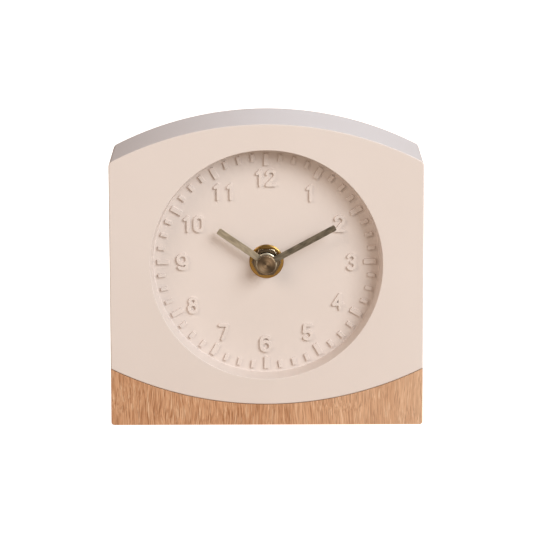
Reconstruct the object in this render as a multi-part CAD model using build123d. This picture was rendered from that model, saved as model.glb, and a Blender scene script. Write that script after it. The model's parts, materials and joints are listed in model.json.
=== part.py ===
import os
from math import acos, atan2, cos, degrees, hypot, pi, radians, sin, sqrt, tan

from build123d import *

# Overall sizes of the clock, in millimetres
body_width = 126.0
body_height = 123.0
body_depth = 45.0
crown_rise = 15.5
cradle_rise = 14.8
wood_middle = 8.4
seam_gap = 0.1
overrun = 1.0

# Upper body: a moulded shell with a round dial well in its front
shell_wall = 2.4
shoulder_radius = 1.4
front_edge_radius = 0.7
dial_margin = 10.6
well_taper = 1.0
well_depth = 9.0
dial_wall = 2.2

# Raised marks on the dial
hours_in_turn = 12
ticks_per_hour = 4
relief = 0.85
tick_margin = 1.5
hour_tick_length = 4.9
hour_tick_width = 2.0
short_tick_length = 3.0
short_tick_width = 1.5
numeral_gap = 1.9
numeral_height = 7.0
numeral_width = 4.5
numeral_stroke = 1.25
numeral_pitch = 5.2
numeral_shift_shares = {
    1: (0.05, -0.2),
    2: (0.03, -0.2),
    3: (0.08, -0.03),
    4: (-0.06, 0.06),
    5: (-0.03, 0.03),
    6: (-0.05, 0),
    7: (-0.06, 0.03),
    8: (-0.06, -0.14),
    10: (0.03, -0.2),
    11: (-0.06, -0.11),
    12: (0, 0.05),
}
digit_bar_shares = {
    1: (((0.5, -1), (0.5, 1)), ((0.5, 1), (-0.22, 0.62))),
    2: (((-1, -1), (1, -1)),),
    4: (((0.45, -1), (0.45, 1)), ((0.45, 1), (-1.15, -0.4)), ((-1.15, -0.4), (1.1, -0.4))),
    5: (((-0.7, 1), (0.85, 1)), ((-0.7, 1), (-0.84, 0.02))),
    7: (((-1, 1), (1, 1)), ((1, 1), (-0.35, -1))),
}
digit_bows = {
    0: ((1, "wide", 0, 180), (-1, "wide", 180, 180)),
    2: ((1, "wide", 165, -205),),
    3: ((1, "half", 150, -240), (-1, "half", 90, -240)),
    5: ((-1, "wide", 128, -268),),
    6: ((-1, "round", 0, 360), (1, "round", 40, 140)),
    8: ((1, "small", 0, 360), (-1, "wide", 0, 360)),
}
two_bow_end = radians(165 - 205)
round_bow_share = 1.15

# Wooden base
wood_foot_radius = 1.2
base_screw_spacing = 60.0
base_head_radius = 3.2
base_head_height = 2.0
base_head_depth = 1.0
base_shank_radius = 1.7
base_shank_length = 19.0
base_boss_radius = 4.0
screw_clearance = 0.35

# Rear cover and its screws
cover_thickness = 2.4
cover_clearance = 0.2
cover_boss_radius = 4.0
cover_boss_inset = 9.0
cover_boss_top_drop = 22.0
cover_boss_foot_rise = 32.0
cover_head_radius = 2.8
cover_head_height = 1.7
cover_head_depth = 0.2
cover_shank_radius = 1.45
cover_shank_length = 9.0
pocket_clearance = 1.0
pocket_wall = 1.6
pocket_gap = 0.3
pocket_corner = 2.0
recess_cross_width = 0.8
recess_cross_depth = 1.0

# Movement case
case_side = 56.0
case_depth = 16.0
case_wall = 1.2
case_corner = 2.0
front_case_depth = 10.0
gasket_thickness = 0.5
gasket_radius = 8.0
bay_partition = 1.0
post_radius = 1.5
post_inset = 2.3
post_foot_height = 5.2
boss_radius = 1.6
centre_boss_radius = 2.3
boss_length = 2.5
pivot_radius = 0.5
pivot_length = 1.6
arbor_radius = 0.7
running_clearance = 0.05
push_fit = 0.02
end_float = 0.1

# Centre stack, from the dial floor towards the front
washer_thickness = 0.5
washer_radius = 6.95
nut_thickness = 1.8
nut_across_flats = 10.4
bushing_radius = 4.0
bushing_proud = 0.8
bushing_flange_radius = 5.2
bushing_flange_thickness = 0.6
bushing_fit = 0.1
hand_gap = 1.1
hand_step = 1.4
hand_thickness = 0.4
hour_pipe_radius = 2.55
minute_shaft_radius = 1.5
minute_tip_radius = 1.2
centre_pivot_radius = 0.8
cap_radius = 3.8
cap_height = 1.8
cap_edge = 0.25
cap_skin = 0.35

# Hands, as they stand in the picture: about ten past ten
hour_hand_length = 23.6
hour_hand_width = 2.7
hour_hand_angle = 304.6
hour_hub_radius = 4.2
minute_hand_length = 31.5
minute_hand_width = 2.45
minute_hand_angle = 61.6
minute_hub_radius = 3.6

# Gears
pressure_angle = 28.0
addendum_share = 0.8
dedendum_share = 1.05
flank_shares = (0.0, 0.5, 1.0)
tooth_thinning = 0.06
minute_module = 0.5
hour_module = 0.48
train_module = 0.3
cannon_teeth = 12
minute_wheel_teeth = 36
minute_pinion_teeth = 10
hour_wheel_teeth = 40
train_pinion_teeth = 8
centre_teeth = 64
third_teeth = 50
fourth_teeth = 48
fifth_teeth = 48
motion_thickness = 1.0
train_thickness = 0.8
pinion_overlap = 0.1
level_gap = 0.4
train_gap = 0.6
rotor_gap = 0.9
plate_thickness = 1.0
plate_clearance = 0.3
minute_wheel_bearing = 30.0
third_bearing = 20.0
fourth_bearing = 95.0
fifth_bearing = 150.0
rotor_bearing = 185.0
stud_radius = 0.9
clutch_collar = 0.4
clutch_hub_radius = 2.2
wheel_rim_width = 1.6
spoke_width = 1.4

# Setting knob
knob_radius = 5.5
knob_thickness = 4.5
knob_gap = 0.3
knob_arbor_radius = 1.5
knob_pivot_radius = 0.8
knob_ribs = 24
knob_rib_radius = 0.45
knob_boss_length = 1.2

# Stepping motor
magnet_radius = 2.8
magnet_thickness = 2.6
magnet_step = 0.2
stator_thickness = 1.0
stator_hole_radius = 3.3
stator_lobe_radius = 5.0
stator_bar_width = 6.6
stator_arm_width = 3.5
stator_top_lift = 3.4
stator_foot_drop = 24.3
coil_offset = 18.0
coil_core_width = 3.0
coil_core_thickness = 1.2
coil_core_margin = 0.5
bobbin_radius = 2.2
bobbin_flange_radius = 3.6
bobbin_flange_thickness = 0.8
bobbin_end_gap = 0.5
winding_radius = 3.3

# Circuit board and its parts
board_thickness = 0.8
board_standoff = 0.5
board_left = 22.5
board_right = 3.0
board_height = 21.0
standoff_rise = 10.5
board_strip = 2.5
board_partition_gap = 0.9
chip_side = 4.0
chip_height = 0.9
chip_inset = 5.5
crystal_radius = 1.0
crystal_length = 6.0
crystal_gap = 0.02
crystal_rise = 16.5

# Battery of the common 14.5 by 50.5 size, and its contacts
battery_radius = 7.25
battery_length = 50.5
battery_nub_radius = 2.7
battery_nub_length = 1.0
battery_edge = 0.3
battery_clearance = 0.3
contact_thickness = 0.3
contact_width = 8.0
contact_height = 10.0
contact_tip_radius = 1.6
contact_root_radius = 2.6
contact_tail_width = 2.6
contact_tail_height = 2.1
contact_notch_clearance = 0.3
board_lap = 0.8

# Places along the depth, from the front face backwards
front_y = -body_depth / 2
rear_y = body_depth / 2
floor_y = front_y + well_depth
dial_back_y = floor_y + dial_wall
case_front_y = dial_back_y + gasket_thickness
case_rear_y = case_front_y + case_depth
case_split_y = case_front_y + front_case_depth
inner_front_y = case_front_y + case_wall
inner_rear_y = case_rear_y - case_wall
nut_front_y = floor_y - washer_thickness - nut_thickness
bushing_front_y = nut_front_y - bushing_proud
hour_hand_y = bushing_front_y - hand_gap
pipe_front_y = hour_hand_y - hand_thickness - end_float
minute_hand_y = hour_hand_y - hand_thickness - hand_step
cap_back_y = minute_hand_y - hand_thickness
cap_front_y = cap_back_y - cap_height

# Levels inside the movement; each is the front of its wheels
hour_level = inner_front_y + plate_clearance
cannon_level = hour_level + motion_thickness + level_gap
plate_y = cannon_level + motion_thickness + level_gap
plate_rear_y = plate_y + plate_thickness
centre_level = plate_rear_y + level_gap
third_level = centre_level + train_thickness + train_gap
fourth_level = third_level + train_thickness + train_gap
fifth_level = fourth_level + train_thickness + rotor_gap
boss_front_y = inner_rear_y - boss_length
magnet_y = third_level - magnet_step
stator_y = magnet_y + (magnet_thickness - stator_thickness) / 2
core_y = stator_y + stator_thickness
board_rear_y = inner_rear_y - board_standoff
board_front_y = board_rear_y - board_thickness

# Heights, measured from the table, and the sizes of the dial that follow them
dial_height = (wood_middle + body_height) / 2
well_rim_radius = (body_height - wood_middle) / 2 - dial_margin
well_floor_radius = well_rim_radius - well_taper
tick_ring = well_floor_radius - tick_margin
numeral_ring = tick_ring - hour_tick_length - numeral_gap - numeral_height / 2
side_height = body_height - crown_rise
seam_side = wood_middle + cradle_rise
case_half = case_side / 2
inner_half = case_half - case_wall
battery_z = dial_height - inner_half + battery_clearance + battery_radius
partition_z = battery_z + battery_radius + battery_clearance
gear_foot_z = partition_z + bay_partition


def centre_distance(module, teeth, other_teeth):
    """Distance between the axes of two gears in mesh."""
    return module * (teeth + other_teeth) / 2


def step_from(place, distance, bearing):
    """The place at a distance from another, at an angle above the x direction."""
    x, z = place
    return x + distance * cos(radians(bearing)), z + distance * sin(radians(bearing))


# Wheel centres, seen from the front as (x, z)
centre_place = (0.0, dial_height)
minute_distance = centre_distance(minute_module, cannon_teeth, minute_wheel_teeth)
minute_place = step_from(centre_place, minute_distance, minute_wheel_bearing)
knob_place = step_from(minute_place, minute_distance, minute_wheel_bearing)
third_place = step_from(
    centre_place, centre_distance(train_module, centre_teeth, train_pinion_teeth), third_bearing
)
fourth_place = step_from(
    third_place, centre_distance(train_module, third_teeth, train_pinion_teeth), fourth_bearing
)
fifth_place = step_from(
    fourth_place, centre_distance(train_module, fourth_teeth, train_pinion_teeth), fifth_bearing
)
rotor_place = step_from(
    fifth_place, centre_distance(train_module, fifth_teeth, train_pinion_teeth), rotor_bearing
)
stator_top = rotor_place[1] + stator_top_lift
stator_foot = rotor_place[1] - stator_foot_drop
post_places = [
    (side * (inner_half - post_inset), height)
    for side in (-1, 1)
    for height in (gear_foot_z + post_foot_height, dial_height + inner_half - post_inset)
]


def meshed_phase(phase, teeth, other_teeth, bearing):
    """The tooth angle of a gear that meshes with another of a known tooth angle."""
    return bearing + 180 - 180 / other_teeth + (bearing - phase) * teeth / other_teeth


def upright(y):
    """The upright plane at depth y that faces the viewer, with x to the right and z up."""
    return Plane(origin=(0, y, 0), x_dir=(1, 0, 0), z_dir=(0, -1, 0))


def slab(face, y_front, y_back):
    """A flat shape drawn in x and z, made solid between two depths."""
    return extrude(upright(y_back) * face, amount=y_back - y_front)


def disc(place, radius):
    """A round face at a place in x and z."""
    return Pos(*place) * Circle(radius)


def rod(place, radius, y_front, y_back):
    """A round bar that runs front to back."""
    return slab(disc(place, radius), y_front, y_back)


def box_face(left, right, foot, top):
    """A rectangle between two x values and two z values."""
    return Pos((left + right) / 2, (foot + top) / 2) * Rectangle(right - left, top - foot)


def turned(points, place):
    """A round piece about an axis that runs front to back; the points are (radius, y)."""
    profile = make_face(Polyline(*points, close=True))
    return Pos(place[0], 0, place[1]) * revolve(profile, Axis.Y)


def gear_face(module, teeth, phase):
    """A spur gear's outline about the origin, with one tooth at the phase angle."""
    pitch_radius = module * teeth / 2
    base_radius = pitch_radius * cos(radians(pressure_angle))
    tip_radius = pitch_radius + addendum_share * module
    root_radius = pitch_radius - dedendum_share * module
    start_radius = max(base_radius, root_radius)
    tooth_width = pi * module / 2 - tooth_thinning
    half_tooth_angle = degrees(tooth_width / pitch_radius) / 2

    def involute(radius):
        slope = acos(base_radius / radius)
        return degrees(tan(slope) - slope)

    def flank(share):
        radius = start_radius + share * (tip_radius - start_radius)
        return radius, half_tooth_angle + involute(pitch_radius) - involute(radius)

    flanks = [flank(share) for share in flank_shares]
    root_angle = flanks[0][1]

    def point(radius, angle):
        return radius * cos(radians(angle)), radius * sin(radians(angle))

    edges = []
    pitch_angle = 360 / teeth
    for tooth in range(teeth):
        middle = phase + tooth * pitch_angle
        rise = [point(radius, middle - angle) for radius, angle in flanks]
        fall = [point(radius, middle + angle) for radius, angle in reversed(flanks)]
        root_in = point(root_radius, middle - root_angle)
        root_out = point(root_radius, middle + root_angle)
        next_root = point(root_radius, middle + pitch_angle - root_angle)
        if start_radius > root_radius:
            edges.append(Edge.make_line(root_in, rise[0]))
        edges.append(Edge.make_three_point_arc(*rise))
        edges.append(Edge.make_line(rise[-1], fall[0]))
        edges.append(Edge.make_three_point_arc(*fall))
        if start_radius > root_radius:
            edges.append(Edge.make_line(fall[-1], root_out))
        edges.append(Edge.make_line(root_out, next_root))
    return Sketch() + Face(Wire(edges))


def gear(module, teeth, phase, place, y_front, thickness):
    """A spur gear at a place in x and z, from one depth backwards."""
    return slab(Pos(*place) * gear_face(module, teeth, phase), y_front, y_front + thickness)


def arc_outline(sides, foot_side, foot_middle, top_side, top_middle):
    """Upright sides between a lower and an upper arc, about x = 0."""
    foot = ThreePointArc((-sides, foot_side), (0, foot_middle), (sides, foot_side))
    right = Line((sides, foot_side), (sides, top_side))
    top = ThreePointArc((sides, top_side), (0, top_middle), (-sides, top_side))
    left = Line((-sides, top_side), (-sides, foot_side))
    return make_face([foot, right, top, left])


def shell_outline():
    """The upper body from the front: arched top, straight sides, round-bottomed foot."""
    return arc_outline(
        body_width / 2, seam_side + seam_gap, wood_middle + seam_gap, side_height, body_height
    )


def shell_inside():
    """The space inside the shell's walls, from the front."""
    return offset(shell_outline(), amount=-shell_wall, kind=Kind.INTERSECTION)


def cover_screw_places():
    """Where the four screws of the rear cover stand, as (x, z)."""
    x = body_width / 2 - cover_boss_inset
    heights = (cover_boss_foot_rise, body_height - cover_boss_top_drop)
    return [(side * x, height) for side in (-1, 1) for height in heights]


def screw(head_radius, head_height, shank_radius, shank_length):
    """A pan-head screw with a cross recess, its seat at the origin and its shank along +Z."""
    head = Pos(0, 0, -head_height / 2) * Cylinder(head_radius, head_height)
    rim = head.faces().sort_by(Axis.Z)[0].edges()
    head = fillet(rim, head_height / 2)
    shank = Pos(0, 0, shank_length / 2) * Cylinder(shank_radius, shank_length)
    shank = chamfer(shank.faces().sort_by(Axis.Z)[-1].edges(), shank_radius / 2)
    slot_length = head_radius + shank_radius / 2
    slot_z = -head_height + recess_cross_depth / 2
    slot = Pos(0, 0, slot_z) * Box(slot_length, recess_cross_width, recess_cross_depth)
    return head + shank - slot - Rot(0, 0, 90) * slot


def numeral_reach():
    """Half the width and half the height of a numeral's centre lines."""
    return (numeral_width - numeral_stroke) / 2, (numeral_height - numeral_stroke) / 2


def stroke_bar(start, end):
    """A straight round-ended stroke between two points."""
    run, rise = end[0] - start[0], end[1] - start[1]
    slot = SlotCenterToCenter(hypot(run, rise), numeral_stroke)
    middle = ((start[0] + end[0]) / 2, (start[1] + end[1]) / 2)
    return Pos(*middle) * Rot(0, 0, degrees(atan2(rise, run))) * slot


def stroke_bow(centre_z, radius, start_angle, turn):
    """A curved round-ended stroke about a centre on the numeral's axis."""
    if abs(turn) < 360:
        return SlotArc(CenterArc((0, centre_z), radius, start_angle, turn), numeral_stroke)
    half = numeral_stroke / 2
    return Pos(0, centre_z) * (Circle(radius + half) - Circle(radius - half))


def stroke_bars(digit):
    """The straight strokes of a numeral, from its table of shares."""
    out, up = numeral_reach()
    return [
        stroke_bar((x_start * out, z_start * up), (x_end * out, z_end * up))
        for (x_start, z_start), (x_end, z_end) in digit_bar_shares.get(digit, ())
    ]


def stroke_bows(digit):
    """The round strokes of a numeral, hung from its head or stood on its foot."""
    out, up = numeral_reach()
    radii = {"wide": out, "round": round_bow_share * out, "half": up / 2, "small": up - out}
    made = []
    for side, size, start_angle, turn in digit_bows.get(digit, ()):
        centre_z = side * (up - radii[size])
        made.append(stroke_bow(centre_z, radii[size], start_angle, turn))
    return made


def two_neck():
    """The slanted stroke of a 2, from the end of its bow to its foot."""
    out, up = numeral_reach()
    start = (out * cos(two_bow_end), up - out + out * sin(two_bow_end))
    return stroke_bar(start, (-out, -up))


def zero_sides():
    """The straight sides of a 0, between its round ends."""
    out, up = numeral_reach()
    return [stroke_bar((side * out, out - up), (side * out, up - out)) for side in (-1, 1)]


def six_side():
    """The straight side of a 6, between its head and its ring."""
    out, up = numeral_reach()
    bow = round_bow_share * out
    return stroke_bar((-bow, up - bow), (-bow, bow - up))


def digit_face(digit):
    """One numeral as a flat face."""
    if digit == 9:
        return Rot(0, 0, 180) * digit_face(6)
    strokes = stroke_bars(digit) + stroke_bows(digit)
    if digit == 0:
        strokes += zero_sides()
    if digit == 2:
        strokes.append(two_neck())
    if digit == 6:
        strokes.append(six_side())
    face = strokes[0]
    for stroke in strokes[1:]:
        face += stroke
    return face


def numeral_face(hour):
    """The numeral or pair of numerals of an hour, centred on the origin."""
    digits = [digit_face(int(mark)) for mark in str(hour)]
    face = digits[0]
    for place, digit in enumerate(digits[1:], start=1):
        face += Pos(place * numeral_pitch, 0) * digit
    return Pos(-face.bounding_box().center().X, 0) * face


def dial_marks():
    """The raised numerals and the raised ticks on the dial floor."""
    y_front, y_back = floor_y - relief, floor_y + dial_wall / 2
    ticks = ticks_per_hour * hours_in_turn
    marks = []
    for place in range(ticks):
        on_hour = place % ticks_per_hour == 0
        length = hour_tick_length if on_hour else short_tick_length
        width = hour_tick_width if on_hour else short_tick_width
        tick = Pos(0, tick_ring - length / 2) * Rectangle(width, length)
        turn = Rot(0, 0, -360 * place / ticks)
        marks.append(slab(Pos(*centre_place) * turn * tick, y_front, y_back))
    for hour in range(1, hours_in_turn + 1):
        x, z = step_from(centre_place, numeral_ring, 90 - 360 * hour / hours_in_turn)
        x_share, z_share = numeral_shift_shares.get(hour, (0, 0))
        shift = Pos(x_share * numeral_height, z_share * numeral_height)
        marks.append(slab(shift * Pos(x, z) * numeral_face(hour), y_front, y_back))
    return marks


def front_shell():
    """The moulded upper body: shell, dial well with raised marks, and screw bosses."""
    shell = slab(shell_outline(), front_y, rear_y)
    shoulders = shell.edges().filter_by(Axis.Y).group_by(Axis.Z)[-1]
    shell = fillet(shoulders, shoulder_radius)
    front_edges = shell.faces().sort_by(Axis.Y)[0].edges()
    shell = fillet(front_edges, front_edge_radius)
    inside = slab(shell_inside(), front_y + shell_wall, rear_y + overrun)
    cup_radius = well_rim_radius + dial_wall
    inside -= rod(centre_place, cup_radius, front_y, dial_back_y)
    shell -= inside
    shell -= turned(
        [
            (0, front_y - overrun),
            (well_rim_radius + well_taper * overrun / well_depth, front_y - overrun),
            (well_floor_radius, floor_y),
            (0, floor_y),
        ],
        centre_place,
    )
    shell += dial_marks()
    shell -= rod(centre_place, bushing_radius + bushing_fit, floor_y - overrun, dial_back_y + overrun)
    for place in cover_screw_places():
        shell += rod(place, cover_boss_radius, front_y + shell_wall / 2, rear_y - cover_thickness)
        shank_end = rear_y - cover_thickness - cover_shank_length
        shell -= rod(place, cover_shank_radius + push_fit, shank_end, rear_y)
    return shell + base_bosses() - base_screw_bores(base_shank_radius + push_fit)


def base_screw_places():
    """Where the two screws of the wooden base stand, along x."""
    return [-base_screw_spacing / 2, base_screw_spacing / 2]


def base_seat_z():
    """Height of the seat that the heads of the base screws pull against."""
    return base_head_depth + base_head_height


def base_bosses():
    """Upright bosses on the shell's foot wall, cut to its outline."""
    top = base_seat_z() + base_shank_length + shell_wall
    columns = []
    for x in base_screw_places():
        columns.append(Pos(x, 0, top / 2) * Cylinder(base_boss_radius, top))
    outline = slab(shell_outline(), front_y, rear_y)
    return [outline & column for column in columns]


def base_screw_bores(radius):
    """Bores for the shanks of the base screws."""
    length = base_seat_z() + base_shank_length
    return [Pos(x, 0, length / 2) * Cylinder(radius, length) for x in base_screw_places()]


def wood_base():
    """The solid wooden base, hollowed along its top to cradle the shell."""
    half = body_width / 2
    cradle = ThreePointArc((half, seam_side), (0, wood_middle), (-half, seam_side))
    block = Polyline((-half, seam_side), (-half, 0), (half, 0), (half, seam_side))
    wood = slab(make_face([block, cradle]), front_y, rear_y)
    foot_edges = wood.edges().filter_by(Axis.Y).group_by(Axis.Z)[0]
    wood = fillet(foot_edges, wood_foot_radius)
    wood -= base_screw_bores(base_shank_radius + screw_clearance)
    for x in base_screw_places():
        depth = base_seat_z()
        wood -= Pos(x, 0, depth / 2) * Cylinder(base_head_radius + screw_clearance, depth)
    return wood


def base_screws():
    """Two screws that hold the shell down on the wood."""
    made = screw(base_head_radius, base_head_height, base_shank_radius, base_shank_length)
    return Compound(children=[Pos(x, 0, base_seat_z()) * made for x in base_screw_places()])


def pocket_outline(extra):
    """The square pocket behind the movement, grown by a wall or a clearance."""
    side = case_side + 2 * (pocket_clearance + extra)
    return Pos(*centre_place) * RectangleRounded(side, side, pocket_corner + extra)


def rear_cover():
    """The rear cover, with a deep pocket that reaches the back of the movement."""
    plate = offset(shell_inside(), amount=-cover_clearance, kind=Kind.INTERSECTION)
    cover_front = rear_y - cover_thickness
    cover = slab(plate, cover_front, rear_y)
    cover += slab(pocket_outline(pocket_wall), case_rear_y + pocket_gap, cover_front)
    cover -= slab(pocket_outline(0), case_rear_y, rear_y + overrun)
    seat_y = rear_y - cover_head_depth - cover_head_height
    for place in cover_screw_places():
        cover -= rod(place, cover_head_radius + screw_clearance, seat_y, rear_y + overrun)
        cover -= rod(place, cover_shank_radius + screw_clearance, cover_front - overrun, rear_y)
    return cover


def cover_screws():
    """Four screws that hold the rear cover."""
    made = screw(cover_head_radius, cover_head_height, cover_shank_radius, cover_shank_length)
    seat_y = rear_y - cover_head_depth - cover_head_height
    turned_screw = Rot(90, 0, 0) * made
    return Compound(children=[Pos(x, seat_y, z) * turned_screw for x, z in cover_screw_places()])


def washer():
    """The flat brass washer on the dial."""
    ring = disc(centre_place, washer_radius) - disc(centre_place, bushing_radius + bushing_fit)
    return slab(ring, floor_y - washer_thickness, floor_y)


def hex_nut():
    """The hexagonal nut that clamps the movement to the dial."""
    corner_radius = nut_across_flats / sqrt(3)
    outline = Pos(*centre_place) * RegularPolygon(corner_radius, 6)
    outline -= disc(centre_place, bushing_radius + running_clearance)
    return slab(outline, nut_front_y, nut_front_y + nut_thickness)


def threaded_bushing():
    """The brass bushing that carries the nut, with its flange sunk in the case wall."""
    bore = hour_pipe_radius + running_clearance
    flange_y = inner_front_y - bushing_flange_thickness
    return turned(
        [
            (bore, bushing_front_y),
            (bushing_radius, bushing_front_y),
            (bushing_radius, flange_y),
            (bushing_flange_radius, flange_y),
            (bushing_flange_radius, inner_front_y),
            (bore, inner_front_y),
        ],
        centre_place,
    )


def rubber_washer():
    """The rubber washer between the movement and the back of the dial."""
    ring = disc(centre_place, gasket_radius) - disc(centre_place, bushing_radius + bushing_fit)
    return slab(ring, dial_back_y, case_front_y)


def case_outline():
    """The square outline of the movement case."""
    return Pos(*centre_place) * RectangleRounded(case_side, case_side, case_corner)


def case_space(y_front, y_back):
    """The free space inside the case, above and below the battery partition."""
    foot = dial_height - inner_half
    top = dial_height + inner_half
    bay = slab(box_face(-inner_half, inner_half, foot, partition_z), y_front, y_back)
    gears = slab(box_face(-inner_half, inner_half, gear_foot_z, top), y_front, y_back)
    return [bay, gears]


def movement_front_case():
    """Front half of the movement case, with posts, a stud and the knob's pivot boss."""
    case = slab(case_outline(), case_front_y, case_split_y)
    case -= case_space(inner_front_y, case_split_y + overrun)
    for place in post_places:
        case += rod(place, post_radius, inner_front_y, plate_y)
    case += rod(minute_place, stud_radius, inner_front_y, plate_y)
    case += rod(knob_place, boss_radius, inner_front_y, inner_front_y + knob_boss_length)
    pivot_depth = inner_front_y + plate_clearance
    case -= rod(knob_place, knob_pivot_radius + running_clearance, pivot_depth, plate_y)
    case -= rod(centre_place, bushing_radius + push_fit, case_front_y - overrun, inner_front_y)
    flange_y = inner_front_y - bushing_flange_thickness
    return case - rod(centre_place, bushing_flange_radius + push_fit, flange_y, inner_front_y + overrun)


def train_places():
    """The train's arbors that turn between the middle plate and the rear wall."""
    return [third_place, fourth_place, fifth_place, rotor_place]


def contact_notch(side):
    """The slot through the battery partition for a contact's tail."""
    edge = side * inner_half
    inner = edge - side * (contact_thickness + contact_notch_clearance)
    face = box_face(min(edge, inner), max(edge, inner), partition_z, gear_foot_z)
    return slab(face, case_split_y, inner_rear_y)


def movement_back_case():
    """Rear half of the movement case: battery bay, pivot bosses and posts."""
    case = slab(case_outline(), case_split_y, case_rear_y)
    case -= case_space(case_split_y - overrun, inner_rear_y)
    foot = dial_height - inner_half
    case -= slab(box_face(-inner_half, inner_half, foot, partition_z), inner_rear_y, case_rear_y)
    for place in post_places:
        case += rod(place, post_radius, plate_rear_y, inner_rear_y)
    pivot_bore = pivot_radius + running_clearance
    for place in train_places():
        case += rod(place, boss_radius, boss_front_y, inner_rear_y)
        case -= rod(place, pivot_bore, boss_front_y, boss_front_y + pivot_length + end_float)
    centre_boss_y = centre_boss_front()
    case += rod(centre_place, centre_boss_radius, centre_boss_y, inner_rear_y)
    hole_end = centre_boss_y + pivot_length + end_float
    case -= rod(centre_place, centre_pivot_radius + running_clearance, centre_boss_y, hole_end)
    for place in standoff_places():
        case += rod(place, boss_radius, board_rear_y, inner_rear_y)
    case -= contact_notch(-1) + contact_notch(1)
    return case - rod(knob_place, knob_arbor_radius + running_clearance, inner_rear_y, case_rear_y)


def centre_boss_front():
    """Depth where the boss of the centre arbor begins, clear of the fourth wheel's level."""
    return fourth_level + train_thickness + level_gap


def standoff_places():
    """Where the circuit board stands off the rear wall."""
    x = (board_left + board_right) / 2
    lower_rise = board_strip + boss_radius
    return [(-x, gear_foot_z + standoff_rise), (-x, gear_foot_z + lower_rise)]


def middle_plate():
    """The plate between the motion work and the going train, bored for the pivots."""
    left = -inner_half + plate_clearance
    foot = gear_foot_z + plate_clearance
    top = dial_height + inner_half - plate_clearance
    face = box_face(left, -left, foot, top)
    face -= disc(centre_place, minute_shaft_radius + running_clearance)
    face -= disc(knob_place, knob_arbor_radius + running_clearance)
    for place in train_places():
        face -= disc(place, pivot_radius + running_clearance)
    return slab(face, plate_y, plate_rear_y)


def minute_arbor():
    """The minute arbor with its cannon pinion, from the hand to the rear pivot."""
    clutch_front = centre_level - end_float
    clutch_rear = centre_level + train_thickness + end_float
    collar_rear = clutch_rear + clutch_collar
    rear_end = centre_boss_front() + pivot_length
    arbor = turned(
        [
            (0, cap_front_y + cap_skin + end_float),
            (minute_tip_radius, cap_front_y + cap_skin + end_float),
            (minute_tip_radius, minute_hand_y),
            (minute_shaft_radius, minute_hand_y),
            (minute_shaft_radius, clutch_front),
            (minute_tip_radius, clutch_front),
            (minute_tip_radius, clutch_rear),
            (minute_shaft_radius, clutch_rear),
            (minute_shaft_radius, collar_rear),
            (centre_pivot_radius, collar_rear),
            (centre_pivot_radius, rear_end),
            (0, rear_end),
        ],
        centre_place,
    )
    return arbor + gear(minute_module, cannon_teeth, 0, centre_place, cannon_level, motion_thickness)


def centre_wheel():
    """The centre wheel, which grips the minute arbor as a slipping clutch."""
    face = Pos(*centre_place) * gear_face(train_module, centre_teeth, 0)
    ring_radius = train_module * centre_teeth / 2 - wheel_rim_width
    window = disc(centre_place, ring_radius) - disc(centre_place, clutch_hub_radius)
    spoke = Rectangle(2 * ring_radius, spoke_width)
    spokes = Pos(*centre_place) * (spoke + Rot(0, 0, 60) * spoke + Rot(0, 0, 120) * spoke)
    face -= window - spokes
    face -= disc(centre_place, minute_tip_radius + running_clearance / 2)
    return slab(face, centre_level, centre_level + train_thickness)


def hour_wheel():
    """The hour wheel with the pipe that carries the hour hand."""
    phase = hour_wheel_phase()
    wheel = gear(hour_module, hour_wheel_teeth, phase, centre_place, hour_level, motion_thickness)
    wheel += rod(centre_place, hour_pipe_radius, pipe_front_y, hour_level + motion_thickness / 2)
    bore = minute_shaft_radius + running_clearance
    wheel_rear = hour_level + motion_thickness
    return wheel - rod(centre_place, bore, pipe_front_y - overrun, wheel_rear + overrun)


def minute_wheel_phase():
    """Tooth angle of the minute wheel, in mesh with the cannon pinion."""
    return meshed_phase(0, cannon_teeth, minute_wheel_teeth, minute_wheel_bearing)


def hour_wheel_phase():
    """Tooth angle of the hour wheel, in mesh with the minute wheel's pinion."""
    back_bearing = minute_wheel_bearing + 180
    return meshed_phase(0, minute_pinion_teeth, hour_wheel_teeth, back_bearing)


def minute_wheel():
    """The minute wheel and its pinion, which turn on a stud of the front case."""
    phase = minute_wheel_phase()
    wheel = gear(minute_module, minute_wheel_teeth, phase, minute_place, cannon_level, motion_thickness)
    pinion_depth = cannon_level - hour_level + motion_thickness / 2
    wheel += gear(hour_module, minute_pinion_teeth, 0, minute_place, hour_level, pinion_depth)
    bore = stud_radius + running_clearance
    return wheel - rod(minute_place, bore, hour_level - overrun, plate_y)


def setting_knob():
    """The ribbed knob at the back, with its arbor and its pinion on the minute wheel."""
    phase = meshed_phase(minute_wheel_phase(), minute_wheel_teeth, cannon_teeth, minute_wheel_bearing)
    knob_front = case_rear_y + knob_gap
    knob = rod(knob_place, knob_radius, knob_front, knob_front + knob_thickness)
    knob = chamfer(knob.faces().sort_by(Axis.Y)[-1].edges(), knob_rib_radius)
    for rib in range(knob_ribs):
        groove = step_from(knob_place, knob_radius, 360 * rib / knob_ribs)
        knob -= rod(groove, knob_rib_radius, knob_front - overrun, knob_front + knob_thickness + overrun)
    knob += rod(knob_place, knob_arbor_radius, cannon_level, knob_front)
    knob += rod(knob_place, knob_pivot_radius, inner_front_y + plate_clearance + end_float, cannon_level)
    return knob + gear(minute_module, cannon_teeth, phase, knob_place, cannon_level, motion_thickness)


def train_wheel(place, teeth, wheel_level, pinion_level, pinion_phase):
    """A wheel and its pinion on one arbor between the middle plate and the rear wall."""
    wheel = gear(train_module, teeth, 0, place, wheel_level, train_thickness)
    start = min(wheel_level, pinion_level - pinion_overlap)
    end = max(wheel_level, pinion_level + pinion_overlap) + train_thickness
    wheel += gear(train_module, train_pinion_teeth, pinion_phase, place, start, end - start)
    return wheel + train_arbor(place)


def train_arbor(place):
    """A plain arbor with a thin pivot at each end."""
    arbor = rod(place, arbor_radius, plate_rear_y + end_float, boss_front_y - end_float)
    return arbor + rod(place, pivot_radius, plate_y + end_float, boss_front_y + pivot_length)


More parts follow.
